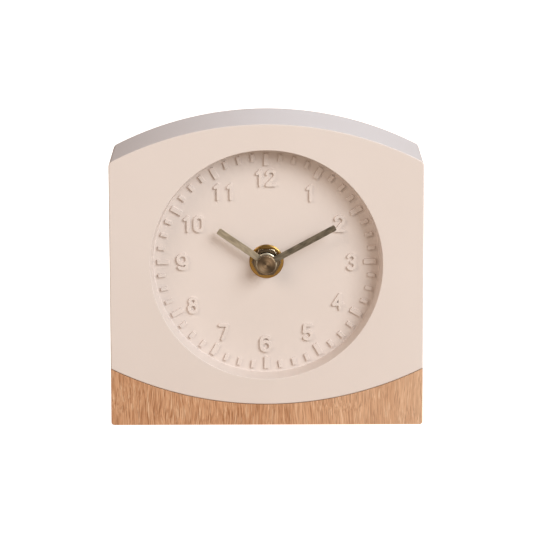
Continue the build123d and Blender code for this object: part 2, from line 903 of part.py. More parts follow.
def third_wheel():
    """The third wheel, in mesh with the centre wheel."""
    phase = meshed_phase(0, centre_teeth, train_pinion_teeth, third_bearing)
    return train_wheel(third_place, third_teeth, third_level, centre_level, phase)


def fourth_wheel():
    """The fourth wheel, in mesh with the third wheel."""
    phase = meshed_phase(0, third_teeth, train_pinion_teeth, fourth_bearing)
    return train_wheel(fourth_place, fourth_teeth, fourth_level, third_level, phase)


def fifth_wheel():
    """The fifth wheel, in mesh with the fourth wheel and driven by the rotor."""
    phase = meshed_phase(0, fourth_teeth, train_pinion_teeth, fifth_bearing)
    return train_wheel(fifth_place, fifth_teeth, fifth_level, fourth_level, phase)


def rotor():
    """The rotor of the stepping motor: a disc magnet, its arbor and its pinion."""
    phase = meshed_phase(0, fifth_teeth, train_pinion_teeth, rotor_bearing)
    magnet = rod(rotor_place, magnet_radius, magnet_y, magnet_y + magnet_thickness)
    pinion_front = fifth_level - pinion_overlap
    pinion_depth = train_thickness + 2 * pinion_overlap
    pinion = gear(train_module, train_pinion_teeth, phase, rotor_place, pinion_front, pinion_depth)
    return magnet + pinion + train_arbor(rotor_place)


def stator():
    """The stator plate: an open frame round the rotor that the coil core closes."""
    x, z = rotor_place
    half = stator_bar_width / 2
    arm_left = -coil_offset - coil_core_width
    face = box_face(x - half, x + half, stator_foot, stator_top)
    face += disc(rotor_place, stator_lobe_radius)
    face += box_face(arm_left, x, stator_top - stator_arm_width, stator_top)
    face += box_face(arm_left, x, stator_foot, stator_foot + stator_arm_width)
    return slab(face - disc(rotor_place, stator_hole_radius), stator_y, core_y)


def coil_core_face(extra):
    """The coil core seen from the front, grown by a clearance."""
    half = coil_core_width / 2 + extra
    return box_face(-coil_offset - half, -coil_offset + half, stator_foot, stator_top)


def coil_core():
    """The iron core that lies on the stator's two arms and passes through the bobbin."""
    half = coil_core_width / 2
    foot, top = stator_foot + coil_core_margin, stator_top - coil_core_margin
    face = box_face(-coil_offset - half, -coil_offset + half, foot, top)
    return slab(face, core_y, core_y + coil_core_thickness)


def bobbin_ends():
    """Lowest and highest point of the bobbin, between the stator's arms."""
    gap = stator_arm_width + bobbin_end_gap
    return stator_foot + gap, stator_top - gap


def upright_cylinder(radius, foot, top):
    """A round bar along the coil's upright axis."""
    y = core_y + coil_core_thickness / 2
    return Pos(-coil_offset, y, (foot + top) / 2) * Cylinder(radius, top - foot)


def coil_bobbin():
    """The flanged bobbin that slides over the coil core."""
    foot, top = bobbin_ends()
    bobbin = upright_cylinder(bobbin_radius, foot, top)
    bobbin += upright_cylinder(bobbin_flange_radius, foot, foot + bobbin_flange_thickness)
    bobbin += upright_cylinder(bobbin_flange_radius, top - bobbin_flange_thickness, top)
    face = coil_core_face(running_clearance)
    return bobbin - slab(face, core_y - running_clearance, core_y + coil_core_thickness + running_clearance)


def coil_winding():
    """The copper winding, as the round body that its fine wire fills."""
    foot, top = bobbin_ends()
    foot, top = foot + bobbin_flange_thickness, top - bobbin_flange_thickness
    hollow = upright_cylinder(bobbin_radius + push_fit, foot, top)
    return upright_cylinder(winding_radius, foot, top) - hollow


def circuit_board():
    """The circuit board: a field beside the train and a strip to the far contact."""
    foot = gear_foot_z + board_partition_gap
    face = box_face(-board_left, -board_right, foot, gear_foot_z + board_height)
    face += box_face(-board_left, board_left, foot, foot + board_strip)
    return slab(face, board_front_y, board_rear_y)


def ic_chip():
    """The clock circuit, under its drop of resin, on the front of the board."""
    x = -board_right - chip_inset
    z = gear_foot_z + board_partition_gap + chip_inset
    face = Pos(x, z) * RectangleRounded(chip_side, chip_side, chip_side / 4)
    return slab(face, board_front_y - chip_height, board_front_y)


def quartz_crystal():
    """The quartz crystal in its metal can, lying on the board."""
    y = board_front_y - crystal_radius - crystal_gap
    x = -board_right - crystal_length / 2 - crystal_radius
    return Pos(x, y, gear_foot_z + crystal_rise) * Rot(0, 90, 0) * Cylinder(crystal_radius, crystal_length)


def battery():
    """The round battery, lying across the foot of the movement."""
    body_length = battery_length - battery_nub_length
    y = inner_front_y + battery_clearance / 2 + battery_radius
    left = -battery_length / 2
    can = Pos(left + body_length / 2, 0, 0) * Rot(0, 90, 0) * Cylinder(battery_radius, body_length)
    can = fillet(can.edges(), battery_edge)
    nub_centre = left + body_length + battery_nub_length / 2
    nub = Pos(nub_centre, 0, 0) * Rot(0, 90, 0) * Cylinder(battery_nub_radius, battery_nub_length)
    return Pos(0, y, battery_z) * (can + nub)


def contact(side):
    """A spring contact at one end of the bay, with a tail that laps onto the board."""
    wall = side * inner_half
    inner = wall - side * contact_thickness
    near, far = min(wall, inner), max(wall, inner)
    y = inner_front_y + battery_clearance / 2 + battery_radius
    plate_face = box_face(near, far, battery_z - contact_height / 2, battery_z + contact_height / 2)
    piece = slab(plate_face, y - contact_width / 2, y + contact_width / 2)
    reach = abs(inner) - battery_length / 2
    tip = Cone(contact_root_radius, contact_tip_radius, reach)
    piece += Pos(inner - side * reach / 2, y, battery_z) * Rot(0, -90 * side, 0) * tip
    foot_z = gear_foot_z + board_partition_gap
    tail_face = box_face(near, far, battery_z, foot_z + contact_tail_height)
    piece += slab(tail_face, board_front_y - contact_tail_width, board_front_y)
    lap = side * (board_left - board_lap)
    foot_face = box_face(min(lap, wall), max(lap, wall), foot_z, foot_z + contact_tail_height)
    return piece + slab(foot_face, board_front_y - contact_thickness, board_front_y)


def hand(length, width, angle, hub_radius, bore, y_back):
    """A flat baton hand with a round hub; the angle is clockwise from twelve."""
    face = box_face(-width / 2, width / 2, 0, length) + Circle(hub_radius)
    face = Rot(0, 0, -angle) * (face - Circle(bore))
    return slab(Pos(*centre_place) * face, y_back - hand_thickness, y_back)


def hour_hand():
    """The hour hand, pressed on the pipe of the hour wheel."""
    length, width, hub = hour_hand_length, hour_hand_width, hour_hub_radius
    return hand(length, width, hour_hand_angle, hub, hour_pipe_radius + push_fit, hour_hand_y)


def minute_hand():
    """The minute hand, seated on the stepped end of the minute arbor."""
    length, width, hub = minute_hand_length, minute_hand_width, minute_hub_radius
    return hand(length, width, minute_hand_angle, hub, minute_tip_radius + push_fit, minute_hand_y)


def hand_cap():
    """The round brass cap that holds the hands on the arbor."""
    bore_end = cap_front_y + cap_skin
    return turned(
        [
            (0, cap_front_y),
            (cap_radius - cap_edge, cap_front_y),
            (cap_radius, cap_front_y + cap_edge),
            (cap_radius, cap_back_y),
            (minute_tip_radius + push_fit, cap_back_y),
            (minute_tip_radius + push_fit, bore_end),
            (0, bore_end),
        ],
        centre_place,
    )


pieces = {
    "front_shell": front_shell(),
    "wood_base": wood_base(),
    "base_screws": base_screws(),
    "rear_cover": rear_cover(),
    "cover_screws": cover_screws(),
    "washer": washer(),
    "hex_nut": hex_nut(),
    "threaded_bushing": threaded_bushing(),
    "rubber_washer": rubber_washer(),
    "movement_front_case": movement_front_case(),
    "movement_back_case": movement_back_case(),
    "middle_plate": middle_plate(),
    "minute_arbor": minute_arbor(),
    "centre_wheel": centre_wheel(),
    "hour_wheel": hour_wheel(),
    "minute_wheel": minute_wheel(),
    "setting_knob": setting_knob(),
    "third_wheel": third_wheel(),
    "fourth_wheel": fourth_wheel(),
    "fifth_wheel": fifth_wheel(),
    "rotor": rotor(),
    "stator": stator(),
    "coil_core": coil_core(),
    "coil_bobbin": coil_bobbin(),
    "coil_winding": coil_winding(),
    "circuit_board": circuit_board(),
    "ic_chip": ic_chip(),
    "quartz_crystal": quartz_crystal(),
    "battery": battery(),
    "contact_positive": contact(1),
    "contact_negative": contact(-1),
    "hour_hand": hour_hand(),
    "minute_hand": minute_hand(),
    "hand_cap": hand_cap(),
}

os.makedirs("parts", exist_ok=True)
for name, piece in pieces.items():
    export_step(piece, f"parts/{name}.step")
    print(name, round(piece.volume, 1))
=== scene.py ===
# %% [markdown]
# # A desk clock, built around its CAD frame
# The clock is a moulded body with an arched top and a round dial sunk in its front. It lies in the
# hollow of a wooden base. Behind it are a rear cover and a battery movement. The frame already
# holds every part at its real place, so each new piece here takes its place from the frame.

import json
from math import asin, atan2, copysign, cos, hypot, pi, radians, sin, sqrt

import bmesh
import bpy
from mathutils import Matrix, Vector


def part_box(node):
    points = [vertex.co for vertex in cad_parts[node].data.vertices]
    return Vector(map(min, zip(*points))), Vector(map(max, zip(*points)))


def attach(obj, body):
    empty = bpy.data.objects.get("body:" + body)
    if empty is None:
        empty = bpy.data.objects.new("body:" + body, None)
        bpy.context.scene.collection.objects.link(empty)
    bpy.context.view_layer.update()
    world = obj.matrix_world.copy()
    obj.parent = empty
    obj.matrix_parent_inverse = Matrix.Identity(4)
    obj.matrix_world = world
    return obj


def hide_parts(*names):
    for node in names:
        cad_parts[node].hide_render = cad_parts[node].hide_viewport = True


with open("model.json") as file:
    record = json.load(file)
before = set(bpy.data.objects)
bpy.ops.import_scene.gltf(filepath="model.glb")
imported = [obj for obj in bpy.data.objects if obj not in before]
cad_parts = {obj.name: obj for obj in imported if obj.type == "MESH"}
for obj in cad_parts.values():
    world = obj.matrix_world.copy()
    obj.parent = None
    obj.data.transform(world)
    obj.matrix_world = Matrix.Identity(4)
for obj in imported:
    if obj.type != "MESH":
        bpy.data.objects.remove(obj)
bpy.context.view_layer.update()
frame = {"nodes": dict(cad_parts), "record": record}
MM = 0.001

# %% [markdown]
# ## Sizes that the pieces share
# Only what a box can't say, such as a rounding, is written as a number.

# %% Read the sizes of the body and of the dial
shell_low, shell_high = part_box("front_shell")
wood_low, wood_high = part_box("wood_base")
washer_low, washer_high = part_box("washer")
gasket_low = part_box("rubber_washer")[0]

HALF_WIDTH = shell_high.x
FRONT_Y, REAR_Y = shell_low.y, shell_high.y
CROWN_Z = shell_high.z
SEAM_GAP = 0.1 * MM
CRADLE_Z = shell_low.z - SEAM_GAP
SEAM_SIDE_Z = wood_high.z
CROWN_RISE = 15.5 * MM
SIDE_Z = CROWN_Z - CROWN_RISE
DIAL_Z = (washer_low.z + washer_high.z) / 2
FLOOR_Y = washer_high.y
DIAL_BACK_Y = gasket_low.y
WALL = 2.4 * MM
DIAL_MARGIN = 10.6 * MM
RIM_RADIUS = (CROWN_Z - CRADLE_Z) / 2 - DIAL_MARGIN
WELL_TAPER = 1.0 * MM
FLOOR_RADIUS = RIM_RADIUS - WELL_TAPER
BORE_RADIUS = 4.1 * MM
print("dial centre", round(DIAL_Z / MM, 2), "rim radius", round(RIM_RADIUS / MM, 2))

# %% [markdown]
# ## Small helpers
# Most pieces start as a bmesh, which is Blender's mesh while it is being edited. When the piece is
# ready, finish_piece merges double points, turns all faces outwards, and hands the mesh to an
# object that rides on a body of the frame. A weighted normal modifier keeps flat faces flat beside
# their rounded edges, as a bevelled part looks best that way.

# %% Finish a piece and ride it on its body
MERGE = 0.001 * MM
SHARP = radians(40)
QUAD = 4


def mesh_from(bm, name):
    """Store an edited mesh as a plain mesh, and free the edited one."""
    mesh = bpy.data.meshes.new(name)
    bm.to_mesh(mesh)
    bm.free()
    return mesh


def add_object(name, data):
    """Put some data, such as a mesh or a light, into the scene as an object."""
    made = bpy.data.objects.new(name, data)
    bpy.context.scene.collection.objects.link(made)
    return made


def finish_piece(name, bm, body, slot, *nodes):
    """Turn an edited mesh into a named piece of the clock that stands for CAD nodes."""
    bmesh.ops.remove_doubles(bm, verts=bm.verts, dist=MERGE)
    bmesh.ops.recalc_face_normals(bm, faces=bm.faces)
    for face in bm.faces:
        face.smooth = len(face.verts) <= QUAD
    mesh = mesh_from(bm, name)
    mesh.set_sharp_from_angle(angle=SHARP)
    piece = add_object(name, mesh)
    weighted = piece.modifiers.new("even_shading", "WEIGHTED_NORMAL")
    weighted.keep_sharp = True
    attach(piece, body)
    if nodes:
        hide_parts(*nodes)
    print(name, len(mesh.polygons), "faces")
    return piece


def near(value, target, slack=0.01 * MM):
    """True where a value is as good as the target."""
    return abs(value - target) < slack


def edges_where(bm, test):
    """The edges whose two ends both pass a test on their place."""
    return [edge for edge in bm.edges if all(test(vert.co) for vert in edge.verts)]


def deep_edges(bm):
    """The edges that run from front to back."""
    return [edge for edge in bm.edges if not near(edge.verts[0].co.y, edge.verts[1].co.y)]


def upright_edges(bm):
    """The edges of a flat drawing's solid that run through its thickness."""
    return [edge for edge in bm.edges if not near(edge.verts[0].co.z, edge.verts[1].co.z)]


def round_edges(bm, edges, radius, segments=3):
    """Round some edges, as a mould or a file leaves them."""
    bmesh.ops.bevel(bm, geom=edges, offset=radius, segments=segments, affect="EDGES",
                    profile=0.5, material=-1, clamp_overlap=True)


def block(centre, sides):
    """A plain block, from its centre and its three sides."""
    bm = bmesh.new()
    shape = Matrix.Translation(centre) @ Matrix.Diagonal((*sides, 1))
    bmesh.ops.create_cube(bm, size=1, matrix=shape)
    return bm


def prism(sides, radius, depth, place):
    """A closed prism or, with enough sides, a cylinder."""
    bm = bmesh.new()
    bmesh.ops.create_cone(bm, cap_ends=True, segments=sides, radius1=radius, radius2=radius,
                          depth=depth, matrix=place)
    return bm


# %% [markdown]
# ## The outline of the body
# The body's outline has two straight sides, an arched crown and a round foot. An arc is drawn by
# spinning one point about the arc's centre, which leaves a chain of edges behind it. The four
# chains are then merged into one loop. Drawing it this way keeps the arcs true circles.

# %% Draw arcs and the closed outline
ARC_STEPS = 84
SIDE_STEPS = 10


def spin_arc(bm, start, end_x, middle_z):
    """Sweep a chain of edges from a point to its mirror image, through a height at x = 0."""
    rise = middle_z - start.z
    half_width = abs(end_x - start.x) / 2
    radius = (half_width ** 2 + rise ** 2) / (2 * rise)
    centre = Vector((0, start.y, middle_z - radius))
    sweep = 2 * asin(half_width / abs(radius))
    vert = bmesh.ops.create_vert(bm, co=start)["vert"][0]
    bmesh.ops.spin(bm, geom=[vert], cent=centre, axis=(0, 1, 0), angle=sweep,
                   steps=ARC_STEPS, use_merge=False, use_duplicate=False)


def straight_run(bm, start, end, steps=1):
    """A straight chain of edges between two points."""
    ends = [bmesh.ops.create_vert(bm, co=point)["vert"][0] for point in (start, end)]
    edge = bm.edges.new(ends)
    bmesh.ops.subdivide_edges(bm, edges=[edge], cuts=steps - 1)


def set_in_arc(side_z, middle_z, inset):
    """The heights at the side and in the middle of one of the body's arcs, moved inwards."""
    rise = middle_z - side_z
    radius = (HALF_WIDTH ** 2 + rise ** 2) / (2 * rise)
    centre_z = middle_z - radius
    inner = radius - copysign(inset, rise)
    reach = sqrt(inner ** 2 - (HALF_WIDTH - inset) ** 2)
    return centre_z + copysign(reach, rise), centre_z + inner


def body_outline(bm, y, inset=0.0):
    """The closed outline of the upper body, or one inside it, as one face at a depth."""
    left, right = inset - HALF_WIDTH, HALF_WIDTH - inset
    crown_side, crown_middle = set_in_arc(SIDE_Z, CROWN_Z, inset)
    foot_side, foot_middle = set_in_arc(SEAM_SIDE_Z + SEAM_GAP, CRADLE_Z + SEAM_GAP, inset)
    spin_arc(bm, Vector((left, y, crown_side)), right, crown_middle)
    spin_arc(bm, Vector((right, y, foot_side)), left, foot_middle)
    straight_run(bm, (left, y, foot_side), (left, y, crown_side), SIDE_STEPS)
    straight_run(bm, (right, y, foot_side), (right, y, crown_side), SIDE_STEPS)
    bmesh.ops.remove_doubles(bm, verts=bm.verts, dist=MERGE)
    return bmesh.ops.contextual_create(bm, geom=bm.edges[:])["faces"][0]


def pull(bm, face, y):
    """Extrude a face to another depth and return the moved face."""
    made = bmesh.ops.extrude_face_region(bm, geom=[face])["geom"]
    moved = [item for item in made if isinstance(item, bmesh.types.BMFace)][0]
    shift = y - moved.verts[0].co.y
    bmesh.ops.translate(bm, verts=moved.verts, vec=(0, shift, 0))
    return moved


# %% [markdown]
# ## The body shell
# The real body is one moulding with a wall of about 2.4 mm. Two ways come to mind: cut the dial
# out of a block with a boolean, or join an outer tube to a turned cup. The second gives clean
# loops, so the front edge and the dial's rim can be rounded like the real ones. So the tube comes
# from the outline, the cup is spun from a short profile, and bridges close the gaps between them.

# %% Spin the dial's cup and join it to the outer tube
CUP_STEPS = 192
SHOULDER = 1.4 * MM
FRONT_ROUND = 0.5 * MM
RIM_ROUND = 0.3 * MM
REAR_ROUND = 0.3 * MM
CUP_RADIUS = RIM_RADIUS + 2.2 * MM
RING_SLACK = 0.03 * MM
LATHE_SIDES = 96


def spin_chain(bm, points, centre, axis, steps):
    """Spin a chain of edges through some points all the way about an axis."""
    verts = [bmesh.ops.create_vert(bm, co=point)["vert"][0] for point in points]
    edges = [bm.edges.new(pair) for pair in zip(verts, verts[1:])]
    bmesh.ops.spin(bm, geom=verts + edges, cent=centre, axis=axis, angle=2 * pi, steps=steps,
                   use_merge=True, use_duplicate=False)


def lathe(bm, profile, steps):
    """Spin a chain of (radius, depth) points about the dial's axis."""
    spin_chain(bm, [(0, y, DIAL_Z + radius) for radius, y in profile], (0, 0, DIAL_Z), (0, 1, 0), steps)


def ring_edges(bm, radius, y):
    """The edges of a circle of some radius about the dial's axis, at a depth."""
    return edges_where(bm, lambda co: near(co.y, y)
                       and near(hypot(co.x, co.z - DIAL_Z), radius, RING_SLACK))


def front_body():
    """The moulded upper body as one closed skin."""
    bm = bmesh.new()
    front = body_outline(bm, FRONT_Y)
    pull(bm, front, REAR_Y)
    corners = [e for e in deep_edges(bm)
               if near(e.verts[0].co.z, SIDE_Z) and near(abs(e.verts[0].co.x), HALF_WIDTH)]
    round_edges(bm, corners, SHOULDER, segments=6)
    round_edges(bm, edges_where(bm, lambda co: near(co.y, FRONT_Y)), FRONT_ROUND, segments=4)
    round_edges(bm, edges_where(bm, lambda co: near(co.y, REAR_Y)), REAR_ROUND, segments=2)
    bm.faces.ensure_lookup_table()
    caps = [f for f in bm.faces if len(f.verts) > QUAD]
    front_cap = min(caps, key=lambda f: f.calc_center_median().y)
    rear_cap = max(caps, key=lambda f: f.calc_center_median().y)
    front_loop = list(front_cap.edges)
    bmesh.ops.delete(bm, geom=[front_cap], context="FACES_ONLY")
    bmesh.ops.inset_region(bm, faces=[rear_cap], thickness=WALL - REAR_ROUND, use_even_offset=True)
    inner = pull(bm, rear_cap, FRONT_Y + WALL)
    inner_loop = list(inner.edges)
    bmesh.ops.delete(bm, geom=[rear_cap, inner], context="FACES_ONLY")
    lathe(bm, [
        (RIM_RADIUS, FRONT_Y), (FLOOR_RADIUS, FLOOR_Y), (BORE_RADIUS, FLOOR_Y),
        (BORE_RADIUS, DIAL_BACK_Y), (CUP_RADIUS, DIAL_BACK_Y), (CUP_RADIUS, FRONT_Y + WALL),
    ], CUP_STEPS)
    rim = ring_edges(bm, RIM_RADIUS, FRONT_Y)
    bmesh.ops.bridge_loops(bm, edges=front_loop + rim)
    back_rim = ring_edges(bm, CUP_RADIUS, FRONT_Y + WALL)
    bmesh.ops.bridge_loops(bm, edges=inner_loop + back_rim)
    bmesh.ops.recalc_face_normals(bm, faces=bm.faces)
    round_edges(bm, ring_edges(bm, RIM_RADIUS, FRONT_Y), RIM_ROUND, segments=4)
    round_edges(bm, ring_edges(bm, FLOOR_RADIUS, FLOOR_Y), RIM_ROUND)
    return finish_piece("body_shell", bm, "root", "shell_plastic", "front_shell")


body_shell = front_body()

# %% [markdown]
# ## The wooden base
# The base is a solid block whose top is hollowed to cradle the body. Its front shows the grain of
# upright cut wood, so the shape stays simple and the finish carries the detail. The block is the
# same kind of outline: an arc, two short sides and a straight foot, pulled back through the depth.

# %% Shape the base
FOOT_ROUND = 1.2 * MM
WOOD_EDGE = 0.12 * MM


def base_block():
    """The hollowed wooden block, with slightly eased edges."""
    bm = bmesh.new()
    corners = [(x, FRONT_Y, z) for x, z in (
        (-HALF_WIDTH, SEAM_SIDE_Z), (-HALF_WIDTH, wood_low.z),
        (HALF_WIDTH, wood_low.z), (HALF_WIDTH, SEAM_SIDE_Z))]
    spin_arc(bm, Vector(corners[-1]), -HALF_WIDTH, CRADLE_Z)
    for start, end in zip(corners, corners[1:]):
        straight_run(bm, start, end)
    bmesh.ops.remove_doubles(bm, verts=bm.verts, dist=MERGE)
    front = bmesh.ops.contextual_create(bm, geom=bm.edges[:])["faces"][0]
    pull(bm, front, REAR_Y)
    feet = [e for e in deep_edges(bm) if near(e.verts[0].co.z, wood_low.z)]
    round_edges(bm, feet, FOOT_ROUND, segments=5)
    rims = [e for e in bm.edges if near(e.verts[0].co.y, e.verts[1].co.y)]
    round_edges(bm, rims, WOOD_EDGE, segments=2)
    return finish_piece("base_wood", bm, "root", "wood", "wood_base")


base_wood = base_block()

# %% [markdown]
# ## Joining simple solids
# A numeral or a hand is easiest to think of as a few plain strokes. Each stroke is its own closed
# solid, and Blender's boolean modifier joins them into one clean skin. The flat pieces of face
# that the join leaves are dissolved again, so that a bevel can run along the whole edge.

# %% Combine solids with a boolean
FLAT = radians(1)
UPWARD, SIDEWAYS = 0.9, 0.1
STEEP = radians(60)


def combine(solids, operation="UNION"):
    """Join, cut or intersect a first solid with the others, and return one edited mesh."""
    made = []
    for solid in solids:
        bmesh.ops.recalc_face_normals(solid, faces=solid.faces)
        made.append(add_object("stroke", mesh_from(solid, "stroke")))
    first = made[0]
    for other in made[1:]:
        step = first.modifiers.new("combine", "BOOLEAN")
        step.operation, step.solver, step.object = operation, "MANIFOLD", other
    depsgraph = bpy.context.evaluated_depsgraph_get()
    result = bpy.data.meshes.new_from_object(first.evaluated_get(depsgraph))
    bm = bmesh.new()
    bm.from_mesh(result)
    for item in made:
        bpy.data.meshes.remove(item.data)
    bpy.data.meshes.remove(result)
    bmesh.ops.remove_doubles(bm, verts=bm.verts, dist=MERGE)
    bmesh.ops.dissolve_limit(bm, angle_limit=FLAT, verts=bm.verts, edges=bm.edges)
    return bm


# %% [markdown]
# ## Strokes with round ends
# The numerals have strokes of one width with round ends. A straight stroke is a short cylinder
# whose far half is slid along, which stretches it to a slot shape. A curved stroke is a square
# section spun about the bow's centre, with a cylinder at each end.

# %% Straight and curved strokes
STROKE = 1.25 * MM
RELIEF = 0.85 * MM
SINK = 0.3 * MM
STROKE_SIDES = 24
FULL_TURN, DEGREES_A_STEP, LEAST_STEPS = 360, 8, 6
OUTWARD = Matrix(((1, 0, 0, 0), (0, 0, -1, 0), (0, 1, 0, 0), (0, 0, 0, 1)))


def stroke_bar(start, end, width=STROKE, height=RELIEF + SINK):
    """A round-ended bar between two points of a flat drawing."""
    run = Vector((end[0] - start[0], end[1] - start[1], 0))
    turn = atan2(run.y, run.x) + pi / STROKE_SIDES
    place = Matrix.Translation((start[0], start[1], height / 2)) @ Matrix.Rotation(turn, 4, "Z")
    bm = prism(STROKE_SIDES, width / 2, height, place)
    far = [v for v in bm.verts if (v.co - Vector((start[0], start[1], 0))).dot(run) > 0]
    bmesh.ops.translate(bm, verts=far, vec=run)
    return bm


def stroke_bow(centre_y, radius, start_angle, turn, width=STROKE, height=RELIEF + SINK):
    """A curved stroke, as a list of solids: the bow and a round end at each side."""
    bm = bmesh.new()
    section = [(radius - width / 2, 0), (radius + width / 2, 0),
               (radius + width / 2, height), (radius - width / 2, height)]
    verts = [bmesh.ops.create_vert(bm, co=(x, 0, z))["vert"][0] for x, z in section]
    face = bm.faces.new(verts)
    full = abs(turn) >= FULL_TURN
    geom = [face] + list(face.edges) + verts
    steps = max(LEAST_STEPS, int(abs(turn) / DEGREES_A_STEP))
    first_place = Matrix.Rotation(radians(start_angle), 3, "Z")
    bmesh.ops.rotate(bm, verts=verts, cent=(0, 0, 0), matrix=first_place)
    bmesh.ops.spin(bm, geom=geom, cent=(0, 0, 0), axis=(0, 0, 1), angle=radians(turn),
                   steps=steps, use_merge=full, use_duplicate=False)
    if full:
        ends = [f for f in bm.faces if abs(f.normal.z) < SIDEWAYS
                and near(f.calc_center_median().xy.length, radius)]
        bmesh.ops.delete(bm, geom=ends, context="FACES")
    bmesh.ops.translate(bm, verts=bm.verts, vec=(0, centre_y, 0))
    solids = [bm]
    if not full:
        for angle in (start_angle, start_angle + turn):
            x = radius * cos(radians(angle))
            y = centre_y + radius * sin(radians(angle))
            solids.append(stroke_bar((x, y), (x, y + MERGE), width, height))
    return solids


# %% [markdown]
# ## Numerals and ticks
# The dial's marks stand up from its floor by less than 1 mm with soft edges, which is all that makes
# them visible: they have the body's own colour. A font would bring its own shapes, so each digit
# is drawn from strokes, with shares of its width and height. Nine is a six turned round.

# %% Draw the ten digits
NUMERAL_WIDTH = 4.5 * MM
NUMERAL_HEIGHT = 7.0 * MM
NUMERAL_PITCH = 5.2 * MM
MARK_ROUND = 0.16 * MM
HALF_W = (NUMERAL_WIDTH - STROKE) / 2
HALF_H = (NUMERAL_HEIGHT - STROKE) / 2
ROUND_BOW = 1.15 * HALF_W
SMALL_BOW = HALF_H - HALF_W
BAR_SHARES = {
    1: (((0.5, -1), (0.5, 1)), ((0.5, 1), (-0.22, 0.62))),
    2: (((-1, -1), (1, -1)),),
    4: (((0.45, -1), (0.45, 1)), ((0.45, 1), (-1.15, -0.4)), ((-1.15, -0.4), (1.1, -0.4))),
    5: (((-0.7, 1), (0.85, 1)), ((-0.7, 1), (-0.84, 0.02))),
    7: (((-1, 1), (1, 1)), ((1, 1), (-0.35, -1))),
}
BOWS = {
    0: ((1, HALF_W, 0, 180), (-1, HALF_W, 180, 180)),
    2: ((1, HALF_W, 165, -205),),
    3: ((1, HALF_H / 2, 150, -240), (-1, HALF_H / 2, 90, -240)),
    5: ((-1, HALF_W, 128, -268),),
    6: ((-1, ROUND_BOW, 0, FULL_TURN), (1, ROUND_BOW, 40, 140)),
    8: ((1, SMALL_BOW, 0, FULL_TURN), (-1, HALF_W, 0, FULL_TURN)),
}


def extra_strokes(digit):
    """The sides of a 0, the neck of a 2 and the side of a 6."""
    if digit == 0:
        return [stroke_bar((side * HALF_W, HALF_W - HALF_H), (side * HALF_W, HALF_H - HALF_W))
                for side in (-1, 1)]
    if digit == 2:
        start_angle, turn = BOWS[2][0][2:]
        angle = radians(start_angle + turn)
        start = (HALF_W * cos(angle), SMALL_BOW + HALF_W * sin(angle))
        return [stroke_bar(start, (-HALF_W, -HALF_H))]
    if digit == 6:
        return [stroke_bar((-ROUND_BOW, HALF_H - ROUND_BOW), (-ROUND_BOW, ROUND_BOW - HALF_H))]
    return []


def soften_top(bm, radius, segments=3):
    """Round the edges between the top and the sides of an upright solid."""
    rim = [e for e in bm.edges if len(e.link_faces) == 2
           and sorted(f.normal.z > UPWARD for f in e.link_faces) == [False, True]
           and e.calc_face_angle() > STEEP]
    round_edges(bm, rim, radius, segments)


def digit_mesh(digit):
    """One digit as a mesh, flat on its back and centred on the drawing's origin."""
    solids = [stroke_bar((a * HALF_W, b * HALF_H), (c * HALF_W, d * HALF_H))
              for (a, b), (c, d) in BAR_SHARES.get(digit, ())]
    for side, radius, start_angle, turn in BOWS.get(digit, ()):
        solids += stroke_bow(side * (HALF_H - radius), radius, start_angle, turn)
    bm = combine(solids + extra_strokes(digit))
    soften_top(bm, MARK_ROUND)
    return mesh_from(bm, "digit")


digits = {digit: digit_mesh(digit) for digit in range(9)}
digits[9] = digits[6].copy()
digits[9].transform(Matrix.Rotation(pi, 4, "Z"))
print("digits have", [len(mesh.polygons) for mesh in digits.values()], "faces")

# %% [markdown]
# The ticks are small bars in two sizes. Everything is laid out flat about the dial's centre, and
# one matrix then stands the whole drawing up against the dial's floor.

# %% Lay the marks round the dial
TICK_RING = FLOOR_RADIUS - 1.5 * MM
HOUR_TICK = Vector((2.0, 4.9)) * MM
SHORT_TICK = Vector((1.5, 3.0)) * MM
NUMERAL_RING = TICK_RING - HOUR_TICK.y - 1.9 * MM - NUMERAL_HEIGHT / 2
HOURS, TICKS_PER_HOUR = 12, 4
NUMERAL_SHIFT_SHARES = {
    1: (0.05, -0.2), 2: (0.03, -0.2), 3: (0.08, -0.03), 4: (-0.06, 0.06), 5: (-0.03, 0.03), 6: (-0.05, 0),
    7: (-0.06, 0.03), 8: (-0.06, -0.14), 10: (0.03, -0.2), 11: (-0.06, -0.11), 12: (0, 0.05),
}


def add_mesh(bm, mesh, place):
    """Add a placed copy of a mesh to an edited mesh."""
    old = set(bm.verts)
    bm.from_mesh(mesh)
    bmesh.ops.transform(bm, matrix=place, verts=[v for v in bm.verts if v not in old])


def tick(bm, size, turn):
    """Add one raised tick, turned clockwise from twelve."""
    height = RELIEF + SINK
    bar = block((0, TICK_RING - size.y / 2, height / 2), (size.x, size.y, height))
    round_edges(bar, upright_edges(bar), MARK_ROUND / 2, segments=2)
    soften_top(bar, MARK_ROUND)
    add_mesh(bm, mesh_from(bar, "tick"), Matrix.Rotation(-turn, 4, "Z"))


